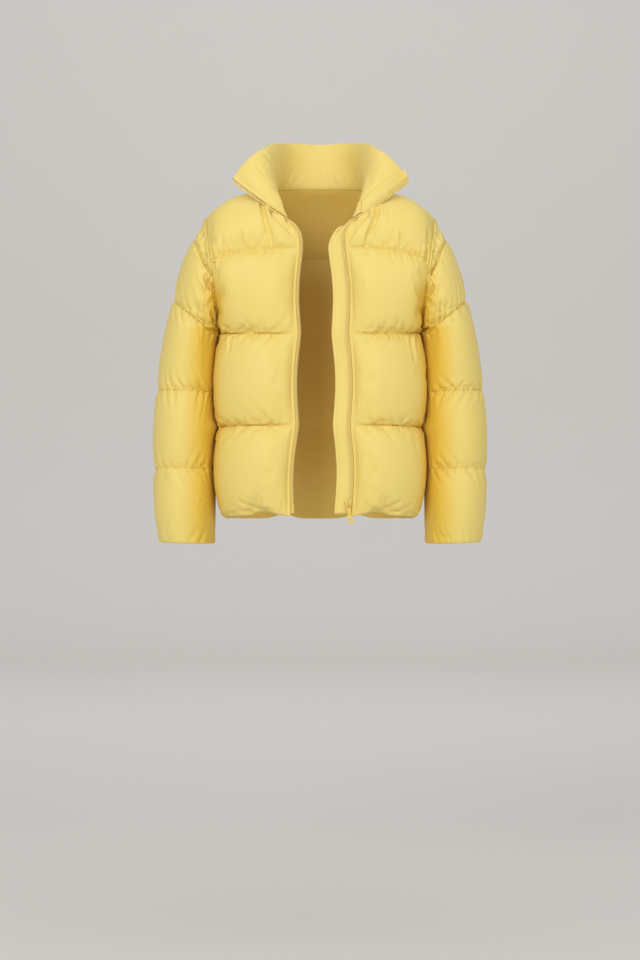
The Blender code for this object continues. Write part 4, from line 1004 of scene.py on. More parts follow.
# Long creases seen from the front: how deep and how wide, and a path of (x, z) from its deep end.
Crease = namedtuple("Crease", "depth half_width path")
CREASES = {
    "front_right": (
        Crease(0.0096, 0.0046, (
            (-0.1170, -0.0241), (-0.1120, -0.0421), (-0.1070, -0.0621), (-0.1010, -0.0841), (-0.0960, -0.1061),
            (-0.0970, -0.1380),
        )),
        Crease(0.0088, 0.0036, ((-0.0990, -0.0351), (-0.0840, -0.0521), (-0.0660, -0.0701), (-0.0540, -0.0831))),
        Crease(0.0088, 0.0036, ((-0.2144, -0.1400), (-0.2190, -0.1181), (-0.2230, -0.0981), (-0.2244, -0.0761))),
        Crease(0.0022, 0.0032, ((-0.1960, -0.0861), (-0.1980, -0.1081), (-0.2000, -0.1300))),
        Crease(0.0018, 0.0030, ((-0.1560, -0.0941), (-0.1580, -0.1221))),
        Crease(0.0070, 0.0028, ((-0.1784, -0.2890), (-0.1810, -0.3020), (-0.1840, -0.3180))),
        Crease(0.0034, 0.0026, ((-0.1914, -0.2650), (-0.1840, -0.2700), (-0.1770, -0.2750))),
        Crease(0.0035, 0.0024, ((-0.1812, -0.3544), (-0.1920, -0.3500), (-0.2030, -0.3516))),
        Crease(0.0024, 0.0026, ((-0.1966, -0.4976), (-0.1900, -0.4880), (-0.1840, -0.4772))),
        Crease(0.0018, 0.0030, ((-0.1380, -0.2640), (-0.1400, -0.2800))),
        Crease(0.0018, 0.0030, ((-0.1180, -0.4480), (-0.1200, -0.4620))),
        Crease(0.0018, 0.0030, ((-0.1520, -0.4500), (-0.1550, -0.4640))),
        Crease(0.0035, 0.0028, ((-0.1634, -0.6150), (-0.1456, -0.6240), (-0.1252, -0.6328))),
        Crease(0.0032, 0.0026, ((-0.1404, -0.6240), (-0.1176, -0.6316), (-0.0972, -0.6368))),
        Crease(0.0027, 0.0026, ((-0.1800, -0.6410), (-0.1640, -0.6350), (-0.1500, -0.6310))),
        Crease(0.0022, 0.0020, ((-0.0740, -0.6200), (-0.0764, -0.6430))),
    ),
    "front_left": (
        Crease(0.0096, 0.0042, (
            (0.1156, -0.0309), (0.1132, -0.0469), (0.1052, -0.0675), (0.0960, -0.0861), (0.0904, -0.1089),
        )),
        Crease(0.0080, 0.0032, ((0.0972, -0.0411), (0.0800, -0.0607), (0.0616, -0.0767))),
        Crease(0.0035, 0.0024, ((0.0604, -0.0905), (0.0730, -0.0767))),
        Crease(0.0096, 0.0034, ((0.2120, -0.1340), (0.2160, -0.1089), (0.2182, -0.0861), (0.2160, -0.0675))),
        Crease(0.0027, 0.0032, ((0.1386, -0.0377), (0.1374, -0.0537))),
        Crease(0.0020, 0.0030, ((0.1620, -0.0861), (0.1638, -0.1089))),
        Crease(0.0016, 0.0030, ((0.1420, -0.1227), (0.1454, -0.1410))),
        Crease(0.0022, 0.0030, ((0.1650, -0.1249), (0.1706, -0.1432))),
        Crease(0.0023, 0.0030, ((0.1834, -0.1227), (0.1948, -0.1480))),
        Crease(0.0063, 0.0028, ((0.1822, -0.2910), (0.1860, -0.3120), (0.1914, -0.3380))),
        Crease(0.0030, 0.0026, ((0.1830, -0.2860), (0.1880, -0.2690))),
        Crease(0.0019, 0.0030, ((0.1558, -0.2650), (0.1580, -0.2488))),
        Crease(0.0032, 0.0024, ((0.1914, -0.3536), (0.2054, -0.3548))),
        Crease(0.0024, 0.0028, ((0.0996, -0.5692), (0.0868, -0.5844), (0.0754, -0.5972))),
        Crease(0.0035, 0.0028, ((0.1608, -0.6176), (0.1380, -0.6278), (0.1174, -0.6340))),
        Crease(0.0031, 0.0026, ((0.1838, -0.6240), (0.1608, -0.6354), (0.1480, -0.6406))),
        Crease(0.0027, 0.0024, ((0.0920, -0.6200), (0.0970, -0.6304))),
        Crease(0.0020, 0.0028, ((0.1940, -0.5060), (0.1860, -0.4940))),
    ),
    "sleeve_right": (
        Crease(0.0063, 0.0028, ((-0.2185, -0.1606), (-0.2272, -0.1455), (-0.2389, -0.1247), (-0.2506, -0.1085))),
        Crease(0.0088, 0.0050, ((-0.2191, -0.1873), (-0.2284, -0.1712), (-0.2377, -0.1503))),
        Crease(0.0022, 0.0024, ((-0.2517, -0.1107), (-0.2470, -0.0877))),
        Crease(0.0088, 0.0034, ((-0.2122, -0.2593), (-0.2173, -0.2425), (-0.2203, -0.2269))),
        Crease(0.0035, 0.0028, ((-0.2773, -0.3860), (-0.2824, -0.3796), (-0.2915, -0.3666))),
        Crease(0.0028, 0.0024, ((-0.2967, -0.3860), (-0.3082, -0.3666))),
        Crease(0.0022, 0.0026, ((-0.2682, -0.3990), (-0.2761, -0.4143))),
        Crease(0.0022, 0.0028, ((-0.2347, -0.4376), (-0.2426, -0.4556))),
        Crease(0.0027, 0.0028, ((-0.2373, -0.6154), (-0.2426, -0.6310))),
        Crease(0.0063, 0.0032, ((-0.2090, -0.6526), (-0.2347, -0.6516))),
    ),
    "sleeve_left": (
        Crease(0.0070, 0.0028, ((0.2213, -0.1606), (0.2270, -0.1479), (0.2363, -0.1317), (0.2456, -0.1131))),
        Crease(0.0084, 0.0048, ((0.2213, -0.1966), (0.2282, -0.1805))),
        Crease(0.0022, 0.0024, ((0.2409, -0.1016), (0.2466, -0.1131))),
        Crease(0.0080, 0.0028, ((0.2130, -0.2698), (0.2236, -0.2639))),
        Crease(0.0035, 0.0026, ((0.2812, -0.3860), (0.2967, -0.3705))),
        Crease(0.0027, 0.0024, ((0.3002, -0.3901), (0.3068, -0.3810))),
        Crease(0.0022, 0.0028, ((0.2219, -0.4634), (0.2284, -0.4750))),
        Crease(0.0038, 0.0030, ((0.2219, -0.6516), (0.2345, -0.6437))),
        Crease(0.0027, 0.0028, ((0.2244, -0.6710), (0.2375, -0.6670))),
    ),
    "collar": (
        Crease(0.0114, 0.0060, ((-0.0666, -0.0086), (-0.0697, 0.0277), (-0.0656, 0.0681), (-0.0707, 0.1105))),
        Crease(0.0114, 0.0060, ((0.0727, -0.0086), (0.0788, 0.0277), (0.0737, 0.0681), (0.0828, 0.1105))),
        Crease(0.0030, 0.0030, ((-0.0959, 0.0681), (-0.1147, 0.0867))),
        Crease(0.0032, 0.0028, ((-0.0836, 0.0055), (-0.1000, 0.0164))),
        Crease(0.0024, 0.0030, ((-0.1191, 0.0479), (-0.1353, 0.0722))),
        Crease(0.0032, 0.0030, ((0.0826, 0.0786), (0.0961, 0.0976))),
        Crease(0.0027, 0.0028, ((0.0909, -0.0116), (0.1070, 0.0015))),
        Crease(0.0024, 0.0030, ((0.1191, 0.0358), (0.1353, 0.0600))),
    ),
}


def between(block):
    """The block with a station more between each two, on a smooth curve through them, along its first axis."""
    padded = np.concatenate([[2 * block[0] - block[1]], block, [2 * block[-1] - block[-2]]])
    made = np.empty((2 * len(block) - 1, *block.shape[1:]))
    made[::2] = block
    made[1::2] = (9 * (padded[1:-2] + padded[2:-1]) - padded[:-3] - padded[3:]) / 16
    return made


def finer(grid, stops, closed=False):
    """A grid [row, column, ...] with twice its rows and columns, smooth except across the rows in stops."""
    blocks = [between(grid[low : high + 1])[:-1] for low, high in zip(stops, stops[1:])]
    turned = np.swapaxes(np.concatenate([*blocks, grid[-1:]]), 0, 1)
    if closed:
        turned = between(np.concatenate([turned[-2:], turned, turned[:3]]))[4:-5]
    else:
        turned = between(turned)
    return np.swapaxes(turned, 0, 1)


def line_gap(rows, spacing):
    """Distance in metres from each row to the nearest sewn line above and below, and the lines' numbers."""
    below = np.floor(rows + 1e-6).astype(int)
    return np.clip(rows - below, 0, 1) * spacing, (below + 1 - rows) * spacing, below


def gathered(rows, across, spans, strengths, seed):
    """Heights [row, column] of the puckers beside every sewn line; spans holds each baffle's height by column."""
    up, down, below = line_gap(rows, 1.0)
    height = np.zeros((len(rows), len(across)))
    for index in range(len(rows)):
        span = spans[min(below[index], len(spans) - 1)]
        for over, gap, line in ((0, up[index], below[index]), (1, down[index], below[index] + 1)):
            if line < len(strengths):
                low = gathers(across, gap * span, seed + 7 * line + over, strengths[line])
                height[index] += low * np.clip(span / 0.09, 0, 1) ** 1.5
    return height


def baffle_spans(skin, rows):
    """The arc length of each baffle at every column."""
    steps = np.linalg.norm(np.diff(skin, axis=0), axis=-1)
    baffle = np.floor(rows[:-1] + 1e-6)
    return [steps[baffle == index].sum(axis=0) for index in range(int(rows[-1]))]


def creased(skin, outward, creases):
    """Heights of the long creases on a skin: valleys seen from the front, with a low ridge on both sides."""
    height = np.zeros(skin.shape[:2])
    for crease in creases:
        path = np.array(crease.path)
        share = np.linspace(0, 1, 28)
        steps = np.linspace(0, 1, len(path))
        line = np.stack([np.interp(share, steps, path[:, axis]) for axis in (0, 1)], axis=-1)
        apart = np.linalg.norm(skin[:, :, None, [0, 2]] - line, axis=-1)
        nearest = apart.argmin(axis=-1)
        gap = apart.min(axis=-1) / crease.half_width
        taper = (1 - share[nearest]) ** 0.6
        height += crease.depth * taper * (0.32 * np.exp(-((gap - 2) ** 2)) - np.exp(-(gap**2)))
    return height * np.clip(-outward[..., 1] * 2, 0, 1) * (skin[..., 1] < 0)


def nearness(rows, spacing, edge_gap):
    """1 on a sewn line or edge, 0 a few centimetres away from it; it sets the painted shade of the nylon's colour near
    seams, and the gathers' bump.
    """
    up, down, _ = line_gap(rows, spacing)
    gap = np.minimum(np.minimum(up, down)[:, None], edge_gap)
    return np.exp(-np.clip(gap, 0, None) / 0.020)


def finish_panel(piece, *nodes):
    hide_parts(*nodes)
    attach(piece, "jacket")
    return piece


def filled(outer, inner, rows, held, calm=0.0, closed=False):
    """The panel's outer skin pushed out by its filling, its inner skin, and the rows, all at twice the fineness."""
    start = inner + (outer - inner) * mix(1, START_LIFT, 1 - held)[..., None]
    full = mix(inflated(start, outer - inner, held, closed), outer, calm)
    stops = list(np.where(np.isclose(rows % 1, 0))[0])
    fine_rows = finer(np.repeat(rows[:, None], 4, axis=1), stops)[:, 0]
    return finer(full, stops, closed), finer(inner, stops, closed), fine_rows, stops


def lined(inner, outward, rows, fade):
    """The inner skin with the lining's shallow puff between the quilting lines."""
    return inner - outward * (LINING_PUFF * np.sin(math.pi * (rows % 1))[:, None] ** 0.7 * fade)[..., None]


def make_front(side, word):
    rows = baffle_rows(TOP, FINE_STEPS)
    outer, inner = front_walls(FINE_FRONT, rows, side)
    held = np.zeros(outer.shape[:2])
    held[np.isclose(rows % 1, 0)] = 1
    held[:, FINE_FRONT * PANEL_WIDTH < BAND + 0.0015] = 1
    held[:, -1] = 1
    calm = (1 - soft_step(FINE_FRONT * PANEL_WIDTH, 0.010, 0.055))[None, :, None]
    full, inner, rows, stops = filled(outer, inner, rows, held, calm)
    edges = finer(outer, stops)
    shares = between(FINE_FRONT)
    across = shares * PANEL_WIDTH
    gap = np.minimum(across - BAND, (1 - shares) * PANEL_WIDTH) * np.ones((len(rows), 1))
    fade = np.clip(gap / 0.012, 0, 1)
    outward = normals_of(full) * side
    height = gathered(rows, across, baffle_spans(full, rows), BODY_GATHER, 11 + 20 * (side > 0)) * fade
    height += creased(full, outward, CREASES[f"front_{word}"]) * np.clip(gap / 0.004, 0, 1)
    full = keep_inside(full + outward * height[..., None], CONTACT_CLEAR)
    full[:, [0, -1]] = edges[:, [0, -1]]
    inner = lined(inner, outward, rows, np.clip((gap - 0.005) / 0.03, 0, 1))
    LINES[f"front_{word}"] = quilting_lines(full, outward, rows, (BAND + 0.002, 0.003), across)
    SKINS[f"front_{word}"] = (full, outward, rows, across)
    finish_panel(cloth_shell(f"front_{word}_padded", full, inner, nearness(rows, BAFFLE_HEIGHT, gap)), f"front_{word}")


def make_back():
    rows = baffle_rows(TOP, FINE_STEPS)
    columns = both_ways(FINE_BACK)
    outer, inner = back_walls(columns, rows)
    held = np.zeros(outer.shape[:2])
    held[np.isclose(rows % 1, 0)] = 1
    held[:, [0, -1]] = 1
    full, inner, rows, stops = filled(outer, inner, rows, held)
    edges = finer(outer, stops)
    shares = between(columns)
    across = shares * 0.30
    gap = (1 - np.abs(shares)) * 0.30 * np.ones((len(rows), 1))
    outward = -normals_of(full)
    height = gathered(rows, across, baffle_spans(full, rows), BODY_GATHER, 71) * np.clip(gap / 0.012, 0, 1)
    full = keep_inside(full + outward * height[..., None], CONTACT_CLEAR)
    full[:, [0, -1]] = edges[:, [0, -1]]
    inner = lined(inner, outward, rows, np.clip((gap - 0.005) / 0.03, 0, 1))
    LINES["back"] = quilting_lines(full, outward, rows, (0.003, 0.003), across - across[0])
    finish_panel(cloth_shell("back_padded", full, inner, nearness(rows, BAFFLE_HEIGHT, gap)), "back")


# Where body and sleeve both draw in at their lines the sleeve bulges into the gap: height, depth, half height.
NOTCHES = ((-0.276, 0.0075, 0.013), (-0.466, 0.0065, 0.013))


def pressed(points, side):
    """The sleeve with its inner side bulging into the notches between the body's baffles."""
    made = points.copy()
    reach = np.abs(points[..., 0]) - contact_x(points[..., 1], points[..., 2])
    beside = np.exp(-((np.clip(reach, 0, None) / 0.012) ** 2)) * np.exp(-((points[..., 1] / 0.07) ** 4))
    for height, depth, half in NOTCHES:
        made[..., 0] -= side * depth * beside * np.exp(-(((points[..., 2] - height) / half) ** 2))
    return made


def make_sleeve(side, word):
    rows = baffle_rows(len(SLEEVE_RINGS) + 1, FINE_STEPS)
    angles = np.linspace(0, 2 * math.pi, SLEEVE_TURNS, endpoint=False)
    outer, inner = sleeve_walls(angles, rows, side)
    held = np.zeros(outer.shape[:2])
    held[np.isclose(rows % 1, 0)] = 1
    full, inner, rows, stops = filled(outer, inner, rows, held, closed=True)
    edges = finer(outer, stops, closed=True)
    across = lengths(np.concatenate([full, full[:, :1]], axis=1), 1)
    outward = normals_of(full, closed=True) * side
    spacing = 0.16
    beside = np.exp(-(((np.abs(full[..., 0]) - contact_x(full[..., 1], full[..., 2])) / 0.034) ** 2))
    height = gathered(rows, across[:-1], baffle_spans(full, rows), SLEEVE_GATHER, 131 + 40 * (side > 0))
    height *= 0.75 + 0.9 * beside * soft_step(rows, 1.15, 1.5)[:, None]
    height -= HEAD_EASE * (np.sin(math.pi * np.clip(rows / 0.7, 0, 1)) ** 1.5)[:, None]
    height += creased(full, outward, CREASES[f"sleeve_{word}"])
    full = pressed(keep_outside(full + outward * height[..., None], CONTACT_CLEAR), side)
    full[0] = edges[0]
    ring = np.concatenate([full, full[:, :1]], axis=1)
    LINES[f"sleeve_{word}"] = quilting_lines(
        ring, np.concatenate([outward, outward[:, :1]], axis=1), rows, (0, 0), across
    )
    near = nearness(rows, spacing, np.ones(full.shape[:2]))
    finish_panel(cloth_shell(f"sleeve_{word}_padded", full, inner, near, closed=True), f"sleeve_{word}")


FINE_COLLAR = np.concatenate([np.linspace(0, 1.86, 60), [1.89, 1.92, 1.953, 1.976, 2.0]])
FINE_HEIGHTS = np.array([
    0, 0.025, 0.06, 0.11, 0.17, 0.24, 0.32, 0.41, 0.5, 0.59, 0.68, 0.76, 0.84, 0.90, 0.95, 0.985, 1.0
])
COLLAR_LENGTH = 0.13  # from the shoulder to the front corner, for each whole place


def make_collar():
    places, heights = between(both_ways(FINE_COLLAR)), between(FINE_HEIGHTS)
    outer, inner = collar_walls(places, heights)
    outward = -normals_of(collar_base(places, heights))
    across = places * COLLAR_LENGTH
    gap = (2 - np.abs(places)) * COLLAR_LENGTH
    fade = np.clip((gap - BAND) / 0.015, 0, 1)
    up = (heights * 0.12)[:, None]
    low = np.array([gathers(across, h * 0.12, 211, 0.9) for h in heights])
    soft = 0.0014 * np.sin(across / 0.021 + 2.5 * heights[:, None]) * np.sin(
        math.pi * np.minimum(1, heights * 1.1)
    )[:, None]
    lift = (low + soft) * fade[None, :]
    keep = 1 - soft_step(np.abs(places), 0.8, 1.3)
    full = outer + outward * (lift * keep[None, :])[..., None]
    valleys = creased(inner, -outward, CREASES["collar"]) * np.clip((gap - 0.012) / 0.01, 0, 1) * np.clip(
        up / 0.01, 0, 1
    )
    facing = inner - outward * (lift * 0.8 * np.clip(up / 0.024, 0, 1) + valleys)[..., None]
    full[0, :, 2] -= 0.0008
    facing[0, :, 2] -= 0.0008
    near = np.exp(-np.minimum(gap[None, :], up) / 0.02)
    piece = cloth_shell("collar_padded", full, facing, near, materials=(shell_cloth(), shell_cloth()))
    SKINS["collar"] = (full, facing, outward, places)
    finish_panel(piece, "collar")


# ---- sewing ----------------------------------------------------------------------------------------------------------
LINES, SKINS = {}, {}
Seam = namedtuple("Seam", "points outward")


def quilting_lines(skin, outward, rows, margins, across):
    """The sewn lines across a panel, a little short of its edges."""
    inside = (across >= across[0] + margins[0]) & (across <= across[-1] - margins[1])
    picked = [i for i in np.where(np.isclose(rows % 1, 0))[0] if 0 < i < len(rows) - 1]
    return [Seam(skin[i, inside], outward[i, inside]) for i in picked]


def stitch_run(builder, seam, above=0.0):
    """Short lengths of thread along a line, each a drawn-out ball half sunk in the cloth."""
    steps = np.linalg.norm(np.diff(seam.points, axis=0), axis=1)
    run = np.concatenate([[0], np.cumsum(steps)])
    count = int(run[-1] / sizes().stitch)
    for place in (np.arange(count) + 0.5) * sizes().stitch:
        at, ahead = (
            Vector([np.interp(place + extra, run, seam.points[:, axis]) for axis in range(3)])
            for extra in (0, 0.0006)
        )
        up = Vector([np.interp(place, run, seam.outward[:, axis]) for axis in range(3)]).normalized()
        forward = (ahead - at).normalized()
        if forward.length < 0.5:
            continue
        side = up.cross(forward).normalized()
        turn = Matrix((forward, side, forward.cross(side))).transposed().to_4x4()
        size = Matrix.Diagonal((sizes().stitch * 0.36, sizes().thread, sizes().thread, 1))
        bmesh.ops.create_icosphere(
            builder, subdivisions=1, radius=1, matrix=Matrix.Translation(at + up * above) @ turn @ size
        )


def make_thread(name, seams, above=0.0):
    builder = bmesh.new()
    for seam in seams:
        stitch_run(builder, seam, above)
    bmesh.ops.recalc_face_normals(builder, faces=builder.faces)
    piece = new_object(name, builder, [found("thread", lambda n: sewing_thread(n, tuple(colours().sewing)))])
    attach(piece, "jacket")
    return piece


# ---- zip and wind flap --------------------------------------------------------------------------------------------
def edge_path(side, start_row, collar_to=1.0):
    """Stations up the whole front edge and the collar's edge, turning smoothly from one into the other."""
    body = body_edge(side, np.concatenate([[start_row], np.linspace(start_row, TOP, 130)[1:]]))
    collar = collar_edge(side, np.linspace(0, collar_to, 30))
    points = np.concatenate([body.point, collar.point[1:]])
    rows = np.concatenate([body.row, collar.row[1:]])
    run = np.concatenate([[0], np.cumsum(np.linalg.norm(np.diff(points, axis=0), axis=1))])
    corner = run[len(body.row) - 1]
    near = np.clip(np.arange(len(rows)) - len(body.row) + 1, 0, None)
    turn = soft_step(run, corner - 0.028, corner + 0.022)[:, None]
    across = mix(body.across[0], collar.across[near], turn)
    out = unit(mix(body.out[0], collar.out[near], turn))
    soft = np.array([np.average(points, axis=0, weights=np.exp(-(((run - s) / 0.005) ** 2))) for s in run])
    blend = np.exp(-(((run - corner) / 0.02) ** 2))[:, None]
    points = mix(points, soft, blend)
    across = unit(across - out * (across * out).sum(axis=1, keepdims=True))
    return Frames(rows, points, across, out), run


def band_piece(name, frames, sections, thickness, material_list):
    """A flat strip through (across, out) corners at each station, with its thickness behind it."""
    face = np.array([[place(frames, i, *corner) for corner in section] for i, section in enumerate(sections)])
    back = face - frames.out[:, None] * thickness
    # An even near-seam value: where the strip is nylon, a little painted shade in its colour and a little gathers'
    # bump.
    near = np.ones(face.shape[:2]) * 0.4
    return cloth_shell(name, face, back, near, materials=material_list)


def edge_at(row, column):
    return np.interp(row, [edge.row for edge in FLAP_EDGES], [getattr(edge, column) for edge in FLAP_EDGES])


def cloth_strip(piece, node):
    """Hides the solid model's part for this strip and hangs the piece on the jacket."""
    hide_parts(node)
    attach(piece, "jacket")


def make_flap():
    """The wind flap behind the left zip: a flat double cloth with a rolled free edge, up to the neck."""
    frames, run = edge_path(LEFT, 0.02)
    picked = frames.row < TOP + 0.34
    frames, run = Frames(*(values[picked] for values in frames)), run[picked]
    sections, stitches = [], []
    for row in frames.row:
        root, reach = edge_at(row, "root"), edge_at(row, "reach")
        wave = 0.0005 * math.sin(row * 9.0) + 0.0003 * math.sin(row * 23.0)
        deep = FLAP_DEEP + 0.0001
        cross = [(root, FLAP_NEAR), (root + 0.0020, FLAP_NEAR), (root + 0.0042, deep)]
        cross += [(mix(root + 0.0042, reach, s), deep + wave * s) for s in (0.2, 0.45, 0.62)]
        cross += [(reach - 0.0072, deep + wave), (reach - 0.0055, deep + wave - 0.0007), (reach - 0.0038, deep + wave)]
        cross += [(reach - 0.0012, deep + wave)]
        sections.append(cross + [(reach + 0.0004, deep + wave - 0.0006)])
        stitches.append((reach - 0.0055, deep + wave - 0.0005))
    piece = band_piece("wind_flap_cloth", frames, sections, FLAP_THICK * 0.85, (shell_cloth(), shell_cloth()))
    widths = np.array([edge_at(row, "reach") - edge_at(row, "root") for row in frames.row])
    cloth_strip(piece, "wind_flap")
    seam = np.array([place(frames, i, *at) for i, at in enumerate(stitches)])
    free = frames.row < 3.9
    low = int(np.argmin(np.abs(frames.row - 0.06)))
    end = np.array([
        place(frames, low, across, FLAP_DEEP + 0.0002)
        for across in np.linspace(0.006, edge_at(0, "reach") - 0.0055, 12)
    ])
    make_thread(
        "wind_flap_thread", [Seam(seam[free], frames.out[free]), Seam(end, np.tile(frames.out[low], (12, 1)))], 0.0001
    )


STRIP_WIDTH, STRIP_LIFT = 0.0178, 0.0016  # the flap's wide part on the collar's inner face


def make_collar_flap():
    """The flap's end on the collar: a wide strip sewn to the inner face that covers the teeth, its end left open."""
    _, facing, outward, places = SKINS["collar"]
    heights = between(FINE_HEIGHTS)
    picked = np.where(heights > 0.16)[0]
    frames = collar_edge(LEFT, heights)
    inside = np.array([1.0, 0.94, 0.75, 0.5, 0.28, 0.08]) * STRIP_WIDTH
    lifts = np.array([0.0003, 0.0011, 1.0 * STRIP_LIFT, 1.1 * STRIP_LIFT, STRIP_LIFT, STRIP_LIFT])
    face, inward = [], []
    for i in picked:
        at = 2 - inside / COLLAR_LENGTH
        skin = np.stack([np.interp(at, places, facing[i, :, axis]) for axis in range(3)], axis=-1)
        out = unit(np.stack([np.interp(at, places, -outward[i, :, axis]) for axis in range(3)], axis=-1))
        over = [
            place(frames, i, across, -WALL - STRIP_LIFT + fall)
            for across, fall in ((0.0030, 0.0), (0.0068, 0.0002), (0.0088, 0.0010))
        ]
        face.append(np.concatenate([skin + out * lifts[:, None], over]))
        inward.append(np.concatenate([out, np.tile(-frames.out[i], (3, 1))]))
    face, inward = np.array(face), unit(np.array(inward))
    along = unit(face[-1] - face[-2])
    for step, curl in ((0.0012, 0.0001), (0.0026, 0.0006), (0.0036, 0.0014)):
        face = np.concatenate([face, (face[len(picked) - 1] + along * step + inward[-1] * curl)[None]])
        inward = np.concatenate([inward, inward[-1:]])
    # An even near-seam value: a little painted shade in the strip's colour and a little gathers' bump.
    near = np.full(face.shape[:2], 0.5)
    piece = cloth_shell(
        "wind_flap_collar_cloth", face, face - inward * 0.0013, near, materials=(shell_cloth(), shell_cloth())
    )
    cloth_strip(piece, "wind_flap_collar")
    make_thread("wind_flap_collar_thread", [Seam(face[1:-3, 1], inward[1:-3, 1])], 0.0001)


def make_zip(side, word):
    start = row_at(PIN_TOP_Z if side == RIGHT else SLIDER_Z - SLIDER_HEIGHT / 2)
    frames, run = edge_path(side, start)
    front = MID_WALL + HALF_TAPE
    section = [(HALF_TAPE, front), (0.0022, front), (0.0032, front + 0.0004), (TAPE_TO_TEETH - 0.0015, front + 0.0002)]
    tape = band_piece(f"zip_tape_{word}_woven", frames, [section] * len(frames.row), 2 * HALF_TAPE, tape_cloth())
    teeth = bmesh.new()
    shape = tooth_shape()
    pitch = sizes().tooth
    first = 0.010 if side == LEFT else 0.001
    for place_along in np.arange(first, run[-1] - 0.004, pitch):
        at, across, out = (
            Vector([np.interp(place_along, run, values[:, axis]) for axis in range(3)])
            for values in (frames.point, frames.across, frames.out)
        )
        across, out = across.normalized(), out.normalized()
        along = out.cross(across).normalized()
        origin = at + across * TAPE_TO_TEETH + out * MID_WALL
        turn = Matrix((across, along, across.cross(along))).transposed().to_4x4()
        before = len(teeth.verts)
        teeth.from_mesh(shape)
        teeth.verts.ensure_lookup_table()
        bmesh.ops.transform(teeth, matrix=Matrix.Translation(origin) @ turn, verts=teeth.verts[before:])
    bmesh.ops.recalc_face_normals(teeth, faces=teeth.faces)
    chain = new_object(
        f"zip_teeth_{word}", teeth, [found("moulded teeth", lambda n: moulded(n, tuple(colours().teeth)))], False
    )
    for piece in (tape, chain):
        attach(piece, "jacket")
    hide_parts(f"zip_tape_{word}", f"zip_tape_collar_{word}")


def tape_cloth():
    material = found("zip tape weave", lambda n: webbing(n, tuple(colours().tape)))
    return (material, material)


def tooth_shape():
    """One moulded tooth round the tape's cord: a block with a narrower nose, its edges rounded."""
    mesh = bpy.data.meshes.get("tooth") or bpy.data.meshes.new("tooth")
    if len(mesh.vertices):
        return mesh
    builder = bmesh.new()
    bmesh.ops.create_cube(builder, size=1, matrix=Matrix.Diagonal((2 * HALF_TEETH, 0.0021, 2 * HALF_TEETH, 1)))
    nose = [face for face in builder.faces if face.normal.x > 0.9]
    made = bmesh.ops.extrude_discrete_faces(builder, faces=nose)["faces"]
    verts = [vert for face in made for vert in face.verts]
    bmesh.ops.translate(builder, vec=(TEETH_NOSE - HALF_TEETH, 0, 0), verts=verts)
    bmesh.ops.scale(builder, vec=(1, 0.62, 0.7), verts=verts)
    bmesh.ops.bevel(
        builder, geom=list(builder.edges), offset=0.00035, segments=1, profile=0.5, affect="EDGES", material=-1
    )
    builder.to_mesh(mesh)
    builder.free()
    return mesh


# ---- slider, box, pin, pull and welts -------------------------------------------------------------------------------
def rounded_box(builder, block, bevel, segments=3):
    """A box in the zip's frame with rounded edges."""
    size = Vector((block.x1 - block.x0, block.y1 - block.y0, block.z1 - block.z0))
    middle = Vector((block.x0 + block.x1, block.y0 + block.y1, block.z0 + block.z1)) / 2
    made = bmesh.ops.create_cube(builder, size=1, matrix=Matrix.Translation(middle) @ Matrix.Diagonal(size).to_4x4())
    edges = list({edge for vert in made["verts"] for edge in vert.link_edges})
    return bmesh.ops.bevel(
        builder, geom=edges, offset=bevel, segments=segments, profile=0.5, affect="EDGES", material=-1
    )["verts"]


def frame_matrix(origin, right, up):
    """The place and turn of a frame whose x runs along `right` and whose z is as near to `up` as it can be."""
    right = unit(right)
    up = unit(up - right * np.dot(right, up))
    axes = Matrix([list(right), list(np.cross(up, right)), list(up)]).transposed().to_4x4()
    return Matrix.Translation(Vector(origin)) @ axes


def zip_frame(side, z, away):
    """The frame of a zip piece whose middle is at height z, this far from the teeth towards the middle."""
    rows = np.array([row_at(z) - 0.03, row_at(z), row_at(z) + 0.03])
    edge = front_base(FRONT_COLUMNS, rows, side)[:, 0]
    origin = edge[1] + np.array([-side * (TAPE_TO_TEETH + away), -MID_WALL, 0])
    return frame_matrix(origin, np.array([1.0, 0.0, 0.0]), edge[2] - edge[0])


def metal_piece(name, builder, node, body="jacket"):
    bmesh.ops.recalc_face_normals(builder, faces=builder.faces)
    piece = new_object(name, builder, [found("enamelled zip metal", lambda n: enamel(n, tuple(colours().metal)))])
    piece.data.set_sharp_from_angle(angle=math.radians(60))
    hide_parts(node)
    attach(piece, body)
    return piece


